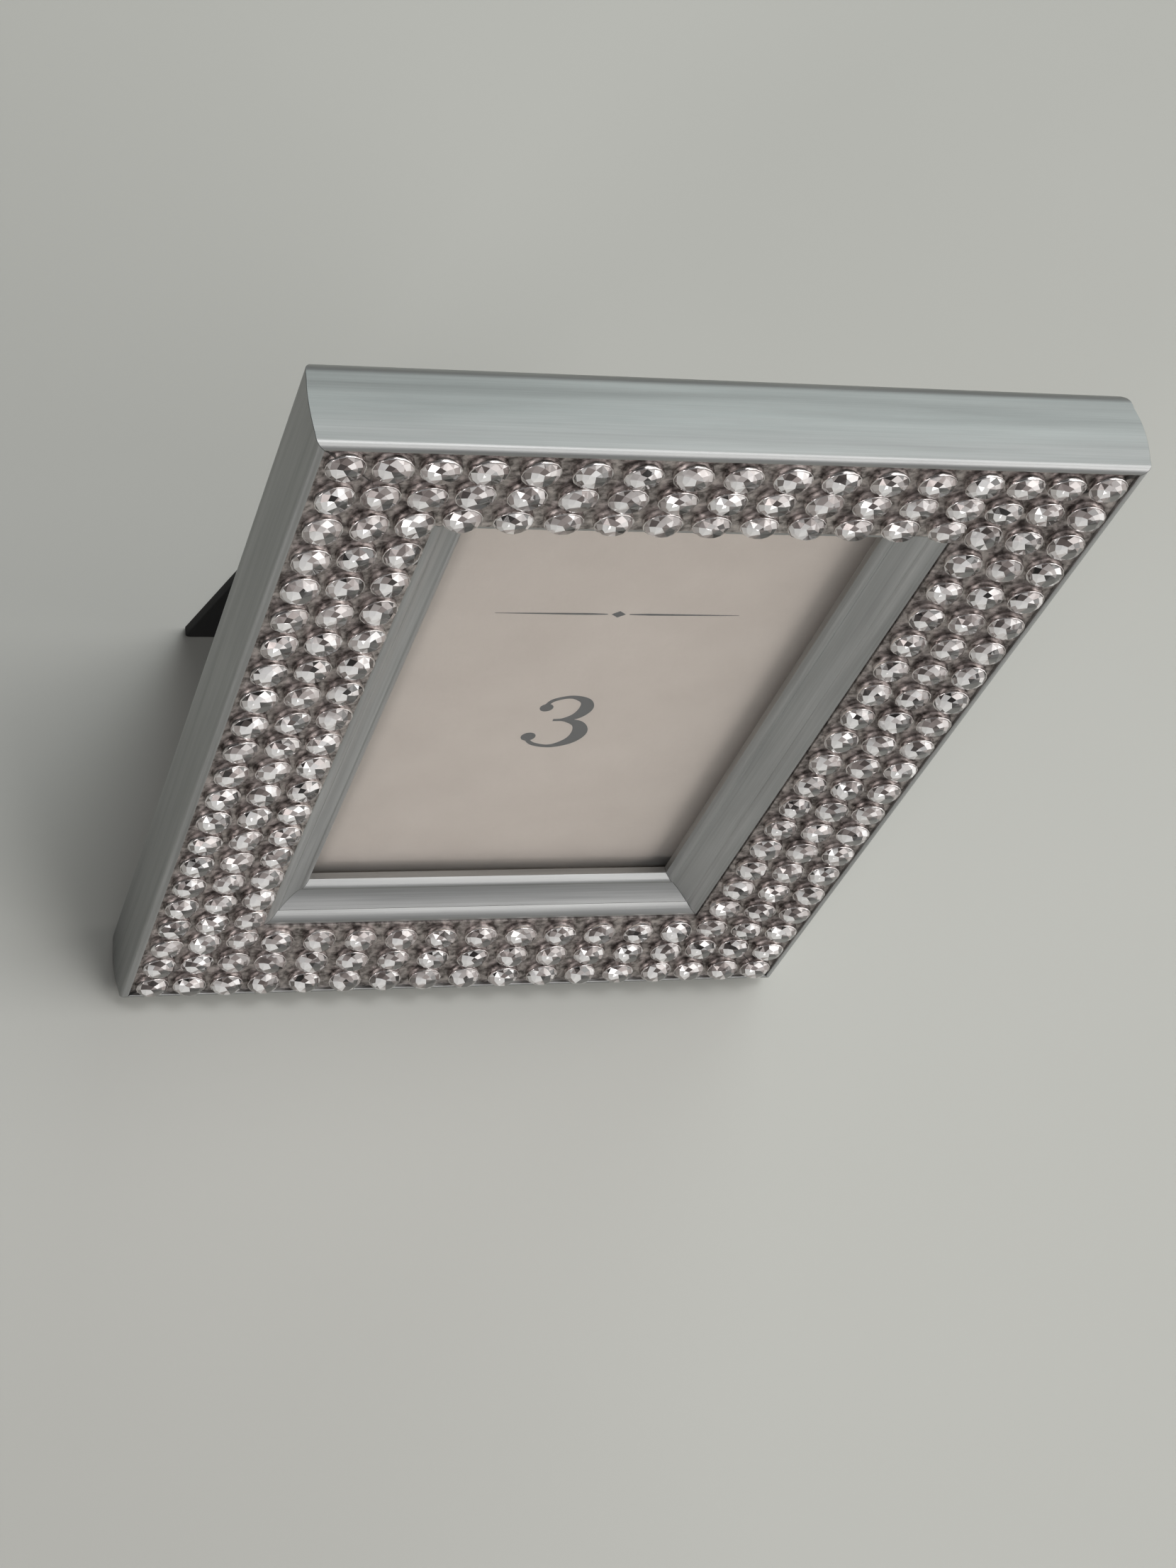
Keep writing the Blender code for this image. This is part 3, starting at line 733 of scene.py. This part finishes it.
def stripTree():
    # stones, the cups they sit in and the backing under them, as one strip
    tree, given, result = newTree("stoneStrip", {
        "Geometry": ["Geometry"], "Object": ["stone", "cup", "backing"],
        "Float": ["stoneRadius", "sizeSpread", "spin", "tilt", "jitter"], "Int": ["seed"],
        "Material": ["stoneFinish", "cupFinish", "backingFinish"]})
    joined = addNode(tree, "GeometryNodeJoinGeometry")
    shared = {name: given[name] for name in ("Geometry", "sizeSpread", "spin", "tilt", "jitter", "seed")}
    for shape in ("stone", "cup"):
        group = addNode(tree, "GeometryNodeGroup", {
            **shared, "shape": given[shape], "size": given["stoneRadius"],
            "finish": given[shape + "Finish"]}, node_tree=setOnPoints)
        tree.links.new(group.outputs["Geometry"], joined.inputs["Geometry"])
    sheet = addNode(tree, "GeometryNodeObjectInfo", {"Object": given["backing"]}).outputs["Geometry"]
    tree.links.new(paintGeometry(tree, sheet, given["backingFinish"]), joined.inputs["Geometry"])
    tree.links.new(joined.outputs["Geometry"], result)
    return tree


stoneStrip = stripTree()


def pointCloud(name, points):
    # vertices with a "facing" vector each, as (place, way)
    mesh = bpy.data.meshes.new(name)
    mesh.from_pydata([where for where, way in points], [], [])
    facing = mesh.attributes.new("facing", "FLOAT_VECTOR", "POINT")
    for item, (where, way) in zip(facing.data, points):
        item.vector = way
    return newObject(name, mesh)


def runTree(cloud, tree, values):
    modifier = cloud.modifiers.new(tree.name, "NODES")
    modifier.node_group = tree
    sockets = {item.name: item.identifier for item in tree.interface.items_tree
               if item.item_type == "SOCKET" and item.in_out == "INPUT"}
    for name, value in values.items():
        modifier[sockets[name]] = value
    mesh = plainMesh(cloud)
    dropObjects(cloud)
    return mesh


# stones: brilliant cut over a plain round cup, in three rows round the front

stones = {
    "pitch": 4.8 * mm, "rowPitch": 4.3 * mm, "rows": 3, "across": 11, "down": 22, "edge": 3.45 * mm,
    "radius": 1.80 * mm, "spread": 0.012, "spin": math.radians(14.0), "tilt": math.radians(3.5),
    "table": (0.54, 0.82), "upper": (0.72, 0.745), "lower": (0.88, 0.62), "girdle": 0.42,  # radius, height
    "fold": 1.0 * mm, "sheet": 0.5 * mm, "sheetIn": (1.17 * mm, 14.33 * mm), "jitter": 0.34,
}


def stoneShape():
    # table, eight stars, two tiers of eight kites and sixteen girdle facets, for a radius of 1
    bm = bmesh.new()
    foilTone = bm.faces.layers.float.new("foilTone")
    spot = bm.verts.layers.float_vector.new("spot")

    def ringOf(count, radius, high, start):
        return [bm.verts.new((x, y, high)) for x, y in ringPoints(radius, count, start)]

    halfStep = 22.5
    table = ringOf(8, *stones["table"], halfStep)
    upper = ringOf(8, *stones["upper"], 0.0)
    lower = ringOf(8, *stones["lower"], halfStep)
    girdle = ringOf(16, 1.0, stones["girdle"], 0.0)
    centre = bm.verts.new((0.0, 0.0, stones["table"][1]))
    for i in range(8):
        bm.faces.new((centre, table[i - 1], table[i]))
        bm.faces.new((table[i - 1], upper[i], table[i]))
        bm.faces.new((table[i], upper[i], lower[i], upper[(i + 1) % 8]))
        bm.faces.new((upper[i], lower[i - 1], girdle[2 * i], lower[i]))
        bm.faces.new((lower[i], girdle[2 * i], girdle[2 * i + 1]))
        bm.faces.new((lower[i], girdle[2 * i + 1], girdle[(2 * i + 2) % 16]))
    bm.faces.new(girdle[::-1])
    faceOutwards(bm)
    for face in bm.faces:
        middle = face.calc_center_median()
        face[foilTone] = foil["plain"]
        for x, y, wide, gain in foil["paintedLightLobes"]:  # painted highlight towards the left of the stone, painted shade towards the right
            away = math.hypot(middle.x - x, middle.y - y) / wide
            face[foilTone] += gain * math.exp(-away * away)
    for vert in bm.verts:
        vert[spot] = vert.co
    return looseShape("stoneShape", bm)


cup = {"radius": 1.06, "sink": -0.1, "over": 0.03, "bevel": (0.03, 0.07), "mouth": (0.96, 0.10), "sides": 16}


def cupShape():
    # a round cup with a bevelled brim, for a stone radius of 1
    wide = cup["radius"]
    high = stones["girdle"] + cup["over"]
    bm = turnedMesh([(wide, cup["sink"]), (wide, high - cup["bevel"][1]), (wide - cup["bevel"][0], high),
                     (cup["mouth"][0], high - cup["mouth"][1])], cup["sides"])
    for face in bm.faces:
        face.smooth = len(face.verts) == 4
    return looseShape("cupShape", bm)


def sideReaches(x, z):
    return ((x + halfWidth, rightWay), (halfWidth - x, -rightWay), (z, upWay), (stand["height"] - z, -upWay))


def nearestSide(x, z):
    return min(reach for reach, way in sideReaches(x, z))


def seatPoint(x, z):
    return place @ Vector((x, seatDepth(nearestSide(x, z)), z))


def seatFacing(x, z):
    # on the fold over a mitre a stone sits square between the two slopes
    total = Vector()
    for reach, way in sideReaches(x, z):
        if reach < nearestSide(x, z) + stones["fold"]:
            total += way * rail["seatSlope"] - backWay
    return place.to_3x3() @ total.normalized()


def backingSheet(name, faces):
    bm = bmesh.new()
    made = {}
    for face in faces:
        for spot in face:
            if spot not in made:
                made[spot] = bm.verts.new(seatPoint(*spot))
        bm.faces.new([made[spot] for spot in face])
    thicken(bm, place.to_3x3() @ backWay * stones["sheet"])
    faceOutwards(bm)
    return looseShape(name, bm)


stoneOne = stoneShape()
cupOne = cupShape()


def addStrip(name, node, faces, spots, seed):
    cloud = pointCloud(name + "Points", [(seatPoint(x, z), seatFacing(x, z)) for x, z in spots])
    sheet = backingSheet(name + "Sheet", faces)
    mesh = runTree(cloud, stoneStrip, {
        "stone": stoneOne, "cup": cupOne, "backing": sheet, "stoneRadius": stones["radius"],
        "sizeSpread": stones["spread"], "spin": stones["spin"], "tilt": stones["tilt"],
        "jitter": stones["jitter"], "seed": seed,
        "stoneFinish": foiledStone, "cupFinish": stoneCup, "backingFinish": stripSilver})
    dropObjects(sheet)
    addMeshPiece(name, mesh, "frame", [node])


def addSideStrip(name, node, side, seed):
    low, high = stones["sheetIn"]
    inner = high - low
    top = stand["height"] - low

    def spot(inward, z):
        return (side * (halfWidth - inward), z)

    faces = [(spot(low, low), spot(high, low + inner), spot(high, top - inner), spot(low, top)),
             (spot(low, low), spot(high, low), spot(high, low + inner)),
             (spot(low, top), spot(high, top - inner), spot(high, top))]
    spots = [spot(stones["edge"] + i * stones["rowPitch"], stones["edge"] + j * stones["pitch"])
             for i in range(stones["rows"]) for j in range(stones["down"])]
    addStrip(name, node, faces, spots, seed)


def addEndStrip(name, node, up, seed):
    low, high = stones["sheetIn"]
    half = halfWidth - stones["rows"] * stones["rowPitch"] - low
    first = -0.5 * (stones["across"] - 1) * stones["pitch"]
    faces = [((-half, fromEnd(low, up)), (half, fromEnd(low, up)),
              (half, fromEnd(high, up)), (-half, fromEnd(high, up)))]
    spots = [(first + j * stones["pitch"], fromEnd(stones["edge"] + i * stones["rowPitch"], up))
             for i in range(stones["rows"]) for j in range(stones["across"])]
    addStrip(name, node, faces, spots, seed)


addSideStrip("stonesLeft", "stone_strip_left", -1, 11)
addSideStrip("stonesRight", "stone_strip_right", 1, 31)
addEndStrip("stonesTop", "stone_strip_top", 1, 51)
addEndStrip("stonesBottom", "stone_strip_bottom", -1, 71)
dropObjects(stoneOne, cupOne)
print("stone strips made")


# what lies in the rebate: pane, card with its number, board

for name, finish in (("glass_pane", clearPane), ("back_board", blackBoard)):
    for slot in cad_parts[name].material_slots:
        slot.material = finish

card = {
    "inset": 15.05 * mm, "front": 7.544 * mm, "thick": 0.3 * mm, "corner": 0.6 * mm, "edge": 0.04 * mm,
    "inkRise": 0.02 * mm, "inkThick": 0.05 * mm,
}


def cardMesh():
    half = halfWidth - card["inset"]
    low = card["inset"]
    high = stand["height"] - card["inset"]
    corners = [(x, z, card["corner"]) for x, z in ((-half, low), (half, low), (half, high), (-half, high))]
    return plateMesh("card", [roundedOutline(corners)], card["thick"], card["edge"], 1)


addPiece("card", cardMesh(), cardStock, standing(0.0, card["front"] + 0.5 * card["thick"], 0.0),
         "frame", ["number_card"])


def strokeSides(stations, steps):
    # both sides of a pen stroke through (x, z, half width) stations, on smooth curves
    last = len(stations) - 1
    near = 0.01  # how far apart the way of the pen is taken

    def along(t):
        i = min(int(t), last - 1)
        f = t - i
        p = [Vector(stations[max(0, min(last, i + k))]) for k in (-1, 0, 1, 2)]
        return 0.5 * (2.0 * p[1] + (p[2] - p[0]) * f + (2.0 * p[0] - 5.0 * p[1] + 4.0 * p[2] - p[3]) * f * f
                      + (3.0 * p[1] - p[0] - 3.0 * p[2] + p[3]) * f ** 3)

    left, right = [], []
    for share in shares(steps * last):
        t = last * share
        here = along(t)
        way = along(min(t + near, last)) - along(max(t - near, 0.0))
        across = Vector((-way.y, way.x)).normalized() * here.z
        left.append((here.x + across.x, here.y + across.y))
        right.append((here.x - across.x, here.y - across.y))
    return left, right


def addRibbon(bm, left, right, high=0.0):
    a = [bm.verts.new((x, z, high)) for x, z in left]
    b = [bm.verts.new((x, z, high)) for x, z in right]
    for i in range(len(a) - 1):
        bm.faces.new((b[i], b[i + 1], a[i + 1], a[i]))


# a plain printed 3: two bowls with a ball at each end, as (x, z, half width) on a figure 1.41 high
number = {
    "upper": [(-0.34, 0.40, 0.03), (-0.26, 0.58, 0.035), (-0.02, 0.67, 0.038), (0.21, 0.57, 0.075),
              (0.28, 0.37, 0.105), (0.20, 0.17, 0.085), (0.02, 0.065, 0.035), (-0.12, 0.05, 0.026)],
    "lower": [(-0.12, 0.05, 0.026), (0.06, 0.045, 0.035), (0.28, -0.06, 0.085), (0.37, -0.29, 0.118),
              (0.28, -0.52, 0.090), (0.03, -0.665, 0.040), (-0.25, -0.60, 0.036), (-0.40, -0.42, 0.03)],
    "balls": [(-0.31, 0.385, 0.098), (-0.36, -0.405, 0.108)],
    "tall": 1.41, "high": 10.6 * mm, "middle": (-0.1 * mm, 49.2 * mm), "steps": 10, "ballSides": 28,
    "layer": 0.002 * mm,  # each stroke lies this much over the last
}


def numberMesh():
    bm = bmesh.new()
    for layer, stroke in enumerate(("upper", "lower")):
        addRibbon(bm, *strokeSides(number[stroke], number["steps"]), layer * number["layer"])
    for layer, (x, z, radius) in enumerate(number["balls"], 2):
        ring = ringPoints(radius, number["ballSides"], centre=(x, z))
        bm.faces.new([bm.verts.new((a, b, layer * number["layer"])) for a, b in ring])
    scale = number["high"] / number["tall"]
    bm.transform(Matrix.Diagonal((scale, scale, 1.0, 1.0)))
    return bm


rule = {
    "up": 70.2 * mm, "half": 13.0 * mm, "thick": 0.18 * mm,
    "lozenge": (1.3, 3.2),  # length to height, and half its height to thick
    "swell": [(0.09, 0.35), (0.25, 0.9), (0.5, 0.7), (0.8, 0.4), (1.0, 0.12)],  # shares of half and thick
}


def ruleMesh():
    # a hairline that swells to the middle, with a lozenge on it
    bm = bmesh.new()
    for side in (-1.0, 1.0):
        addRibbon(bm, *[[(side * t * rule["half"], up * w * rule["thick"]) for t, w in rule["swell"]]
                        for up in (1.0, -1.0)])
    long, size = rule["lozenge"]
    bm.faces.new([bm.verts.new((x * size * rule["thick"], z * size * rule["thick"], 0.0))
                  for x, z in ((-long, 0.0), (0.0, -1.0), (long, 0.0), (0.0, 1.0))])
    return bm


for name, bm, x, z in (("number", numberMesh(), *number["middle"]), ("rule", ruleMesh(), 0.0, rule["up"])):
    thicken(bm, (0.0, 0.0, -card["inkThick"]))
    addPiece(name, bm, printingInk, standing(x, card["front"] - card["inkRise"], z), "frame")
print("pane, card and board made")


# corner plates in the back channel

cornerPlate = {
    "near": 3.0 * mm, "far": 5.4 * mm, "arm": 14.0 * mm, "thick": 1.4 * mm, "edge": 0.15 * mm,
    "outer": 0.5 * mm, "inner": 0.3 * mm, "end": 0.6 * mm,
}


def ellOutline():
    near, far = cornerPlate["near"], cornerPlate["far"]
    tip = near + cornerPlate["arm"]
    end = cornerPlate["end"]
    return roundedOutline([(near, near, cornerPlate["outer"]), (tip, near, end), (tip, far, end),
                           (far, far, cornerPlate["inner"]), (far, tip, end), (near, tip, end)])


plateAt = standing(0.0, stand["depth"] - 0.5 * cornerPlate["thick"], 0.0)
for name, side, up in (("Tl", -1, 1), ("Tr", 1, 1), ("Bl", -1, -1), ("Br", 1, -1)):
    outline = [(side * (halfWidth - a), fromEnd(b, up)) for a, b in ellOutline()]
    bm = plateMesh("cornerPlate" + name, [outline], cornerPlate["thick"], cornerPlate["edge"])
    addPiece("cornerPlate" + name, bm, zincPlate, plateAt, "frame", ["corner_plate_" + name.lower()])


# turn buttons and the slotted screws they swing on

button = {
    "inward": 11.0 * mm, "inset": 31.0 * mm, "reach": 6.2 * mm, "heel": 2.6 * mm, "tip": 1.7 * mm,
    "front": 9.744 * mm, "thick": 0.7 * mm, "edge": 0.16 * mm, "hole": 1.1 * mm,
    "heelSteps": 28, "tipSteps": 18, "holeSteps": 24,
}


def buttonCentres():
    for side, up in ((-1, 1), (1, 1), (-1, -1), (1, -1)):
        yield side, side * (halfWidth - button["inward"]), fromEnd(button["inset"], up)


def buttonMesh():
    spread = math.degrees(math.acos((button["heel"] - button["tip"]) / button["reach"]))
    outline = arcPoints(button["heel"], spread, 360.0 - spread, button["heelSteps"])
    outline += arcPoints(button["tip"], -spread, spread, button["tipSteps"], (button["reach"], 0.0))
    hole = ringPoints(button["hole"], button["holeSteps"])
    return plateMesh("button", [outline, hole], button["thick"], button["edge"])


for i, (side, x, z) in enumerate(buttonCentres(), 1):
    turn = Matrix.Rotation(math.pi if side > 0 else 0.0, 4, "Y")
    matrix = place @ Matrix.Translation((x, button["front"] + 0.5 * button["thick"], z)) @ turn @ flatToBack
    node = "turn_button_%d" % i
    addPiece("turnButton%d" % i, buttonMesh(), zincPlate, matrix, node, [node])

screw = {
    "head": 1.7 * mm, "rise": 0.6 * mm, "stem": 0.8 * mm, "long": 3.9 * mm, "at": 10.744 * mm, "seed": 5,
    "under": ((0.94, 0.0), (1.0, 0.05)), "brim": 0.12, "dome": (0, 20, 40, 58, 74), "sides": 28,
    "slot": (2.4, 0.238, 0.48), "sharp": 35.0, "spread": 0.0, "tilt": 0.0,
}


def screwShape():
    body = looseShape("screwBody", headMesh(screw))
    cutter = cutBox(body, (0.0, 0.0, screw["rise"] / screw["head"]), screw["slot"])
    bm = bmeshFrom(plainMesh(body))
    dropObjects(body, cutter)
    markSharp(bm, screw["sharp"])
    return looseShape("screwShape", bm)


def addHeads(name, shape, look, spots, body, node, count):
    mesh = runTree(pointCloud(name + "Points", spots), setOnPoints, {
        "shape": shape, "size": look["head"], "sizeSpread": look["spread"], "spin": math.pi,
        "tilt": look["tilt"], "seed": look["seed"], "finish": hingeSteel})
    addMeshPiece(name, mesh, body, ["%s_%d" % (node, k + 1) for k in range(count)])


frameBack = place.to_3x3() @ backWay
screwOne = screwShape()
screwSpots = [(place @ Vector((x, screw["at"], z)), frameBack) for side, x, z in buttonCentres()]
addHeads("pivotScrews", screwOne, screw, screwSpots, "frame", "pivot_screw", 4)
dropObjects(screwOne)
print("corner plates, turn buttons and screws made")


# hinge

hinge = {
    "long": 36.0 * mm, "knuckle": 12.0 * mm, "gap": 0.15 * mm, "radius": 1.6 * mm, "bore": 0.95 * mm,
    "leaf": 0.7 * mm, "railLeaf": 7.6 * mm, "strutLeaf": 8.6 * mm, "strutIn": 0.3 * mm, "fit": 0.3 * mm,
    "ends": 0.02 * mm, "edge": 0.1 * mm, "soften": math.radians(50.0), "arcSteps": 40, "boreSteps": 28,
}


def leafMesh(name, outline, notches):
    # an outline back (y) and up (z), run along x, with room for the other leaf's knuckles
    bore = ringPoints(hinge["bore"], hinge["boreSteps"])
    bm = plateMesh(name, [outline, bore], hinge["long"], hinge["ends"], 0)
    bm.transform(Matrix(((0, 0, 1, 0), (1, 0, 0, 0), (0, 1, 0, 0), (0, 0, 0, 1))))  # x, y, z to y, z, x
    faceOutwards(bm)
    leaf = looseShape(name, bm)
    reach = 2.0 * (hinge["radius"] + hinge["fit"])
    cutters = [cutBox(leaf, (middle, 0.0, 0.0), (width, reach, reach)) for middle, width in notches]
    soften = leaf.modifiers.new("soften", "BEVEL")
    soften.width = hinge["edge"]
    soften.segments = 2
    soften.limit_method = "ANGLE"
    soften.angle_limit = hinge["soften"]
    made = bmeshFrom(plainMesh(leaf))
    dropObjects(leaf, *cutters)
    return made


def leafOutline(front, back, tip, begin, end):
    return [(front, tip), (back, tip)] + arcPoints(hinge["radius"], begin, end, hinge["arcSteps"])


def railLeafMesh():
    radius = hinge["radius"]
    back = hinge["leaf"] - radius
    begin = math.degrees(math.acos(back / radius))
    outline = leafOutline(-radius, back, hinge["railLeaf"], begin, -180.0)
    return leafMesh("railLeaf", outline, [(0.0, hinge["knuckle"] + 2.0 * hinge["gap"])])


def strutLeafMesh():
    radius = hinge["radius"]
    back = hinge["strutIn"] - hinge["fit"]
    front = back - hinge["leaf"]
    begin = -math.degrees(math.acos(back / radius))
    end = 180.0 + math.degrees(math.acos(-front / radius))
    outline = leafOutline(front, back, -hinge["strutLeaf"], begin, end)
    knuckle = 0.5 * (hinge["long"] - hinge["knuckle"])
    middle = 0.5 * (hinge["long"] - knuckle) + hinge["gap"]
    return leafMesh("strutLeaf", outline, [(side * middle, knuckle + 3.0 * hinge["gap"]) for side in (-1, 1)])


pin = {"radius": 0.8 * mm, "over": 0.3 * mm, "end": 0.6 * mm, "bevel": 0.15 * mm, "sides": 24}


def pinMesh():
    half = 0.5 * hinge["long"] + pin["over"]
    lower = [(0.0, -half), (pin["end"], -half), (pin["radius"], pin["bevel"] - half)]
    return turnedMesh(lower + [(r, -z) for r, z in reversed(lower)], pin["sides"])


addPiece("railLeaf", railLeafMesh(), hingeSteel, pivot, "frame", ["hinge_rail_leaf"])
addPiece("strutLeaf", strutLeafMesh(), hingeSteel, swing, "strut", ["hinge_strut_leaf"])
addPiece("hingePin", pinMesh(), hingeSteel, pivot @ Matrix.Rotation(quarter, 4, "Y"), "frame",
         ["hinge_pin"])

rivet = {
    "head": 1.25 * mm, "rise": 0.5 * mm, "stem": 0.65 * mm, "long": 1.25 * mm, "seed": 3,
    "under": ((0.96, 0.0),), "brim": 0.06, "dome": (0, 22, 44, 62, 78), "sides": 20, "sharp": 40.0,
    "spread": 0.01, "tilt": math.radians(1.5), "pitch": 12.0 * mm, "up": 4.9 * mm, "down": 5.6 * mm,
    "railAt": 10.744 * mm, "strutSides": ((-1.0 * mm, -1.0), (1.8 * mm, 1.0)),  # depth and way
}


def rivetShape():
    bm = headMesh(rivet)
    markSharp(bm, rivet["sharp"])
    return looseShape("rivetShape", bm)


rivetOne = rivetShape()
railSpots, strutSpots = [], []
for k in (-1, 0, 1):
    x = k * rivet["pitch"]
    railSpots.append((place @ Vector((x, rivet["railAt"], strutAxis["up"] + rivet["up"])), frameBack))
    for depth, way in rivet["strutSides"]:
        strutSpots.append((swing @ Vector((x, depth, -rivet["down"])), swing.to_3x3() @ backWay * way))
addHeads("railRivets", rivetOne, rivet, railSpots, "frame", "rail_rivet", 3)
addHeads("strutRivets", rivetOne, rivet, strutSpots, "strut", "strut_rivet", 3)
dropObjects(rivetOne)


# strut

strut = {
    "half": 29.8 * mm, "thick": 1.2 * mm, "front": 0.3 * mm, "heel": 5.529 * mm, "corner": 0.8 * mm,
    "notchHalf": 18.6 * mm, "notchLow": -2.2 * mm, "notchCorner": 0.5 * mm, "edge": 0.18 * mm,
    "tilt": math.radians(3.4), "footBand": 2.0 * mm,
}


def strutMesh():
    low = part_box("easel_strut")[0].z
    foot = -(pivot.to_translation().z - low) / math.cos(strut["tilt"])
    right = [(strut["half"], foot, strut["corner"]), (strut["half"], strut["heel"], strut["corner"]),
             (strut["notchHalf"], strut["heel"], strut["notchCorner"]),
             (strut["notchHalf"], strut["notchLow"], strut["notchCorner"])]
    outline = roundedOutline(right + [(-x, z, radius) for x, z, radius in reversed(right)])
    bm = plateMesh("strutPanel", [outline], strut["thick"], strut["edge"])
    bm.transform(Matrix.Translation((0.0, strut["front"] + 0.5 * strut["thick"], 0.0)) @ flatToBack)
    for vert in bm.verts:
        if vert.co.z < foot + strut["footBand"]:
            vert.co.z -= vert.co.y * math.tan(strut["tilt"])  # the foot is cut level with the table
    return bm


addPiece("strutPanel", strutMesh(), blackFlock, swing, "strut", ["easel_strut"])
print("hinge and strut made")


# floor, light and camera

floor = {
    "half": 2.0, "ramp": ((0.3, (0.469, 0.471, 0.440)), (0.7, (0.483, 0.484, 0.454))),
    "pattern": (9.0, 3.0), "rough": (0.28, 0.36), "shine": 0.3,
}


def makeFloor():
    finish, tree = newFinish("paleTable")
    setPattern(tree, floor)
    setShader(tree, {"Specular IOR Level": floor["shine"]})
    bm = bmesh.new()
    bmesh.ops.create_grid(bm, x_segments=1, y_segments=1, size=floor["half"])
    ground = looseShape("floor", bm)
    ground.data.materials.append(finish)


makeFloor()

sky = {
    "base": (0.065, 0.065, 0.066),
    "sides": ((rightWay, (0.74, 0.73, 0.714)), (-backWay, (0.21, 0.21, 0.215))),  # way and colour
}


def makeSky():
    # a plain room, brightest on the right and then in front
    world = bpy.data.worlds.new("studio")
    world.use_nodes = True
    bpy.context.scene.world = world
    tree = world.node_tree
    where = addNode(tree, "ShaderNodeTexCoord").outputs["Generated"]
    total = sky["base"]
    for side, colour in sky["sides"]:
        share = addVectorMath(tree, "DOT_PRODUCT", where, side, result="Value")
        total = addVectorMath(tree, "MULTIPLY_ADD", colour, addMath(tree, "MAXIMUM", share, 0.0), total)
    tree.links.new(total, tree.nodes["Background"].inputs["Color"])


makeSky()

# place, width, power and colour
lamps = {
    "softBox": ((0.46, -0.50, 0.86), 0.62, 2.85, (1.0, 0.985, 0.97)),
    "window": ((0.43, 0.94, 0.78), 0.8, 2.4, (0.88, 1.0, 0.975)),
    "ceiling": ((0.11, 0.24, 1.1), 0.5, 2.5, (1.0, 1.0, 1.0)),
    "sideBox": ((0.45, 0.10, 1.0), 0.6, 1.5, (1.0, 1.0, 0.99)),
    "wall": ((1.35, 0.05, 0.75), 1.4, 5.8, (1.0, 0.985, 0.965)),
    "glint": ((-0.66, -0.66, 0.42), 0.26, 1.6, (1.0, 0.98, 0.97)),
}
lampTarget = Vector((0.0, 0.0, 0.04))
for name, (position, width, power, colour) in lamps.items():
    light = bpy.data.lights.new(name, "AREA")
    light.shape = "DISK"
    light.size = width
    light.energy = power
    light.color = colour
    lamp = newObject(name, light)
    lamp.location = position
    lamp.rotation_euler = (lampTarget - Vector(position)).to_track_quat("-Z", "Y").to_euler()

view = {
    "sensor": 36.0, "lens": 68.895, "clip": 0.01,
    "at": (-0.1026, -0.07575, 0.33881), "turn": (14.02404, -18.69005, -5.01316),
}
camera = bpy.data.cameras.new("photoView")
camera.sensor_width = view["sensor"]
camera.lens = view["lens"]
camera.clip_start = view["clip"]
viewer = newObject("photoView", camera)
viewer.location = view["at"]
viewer.rotation_euler = tuple(math.radians(angle) for angle in view["turn"])
bpy.context.scene.camera = viewer
bpy.context.scene.view_settings.view_transform = "Standard"
print("floor, light and camera set")
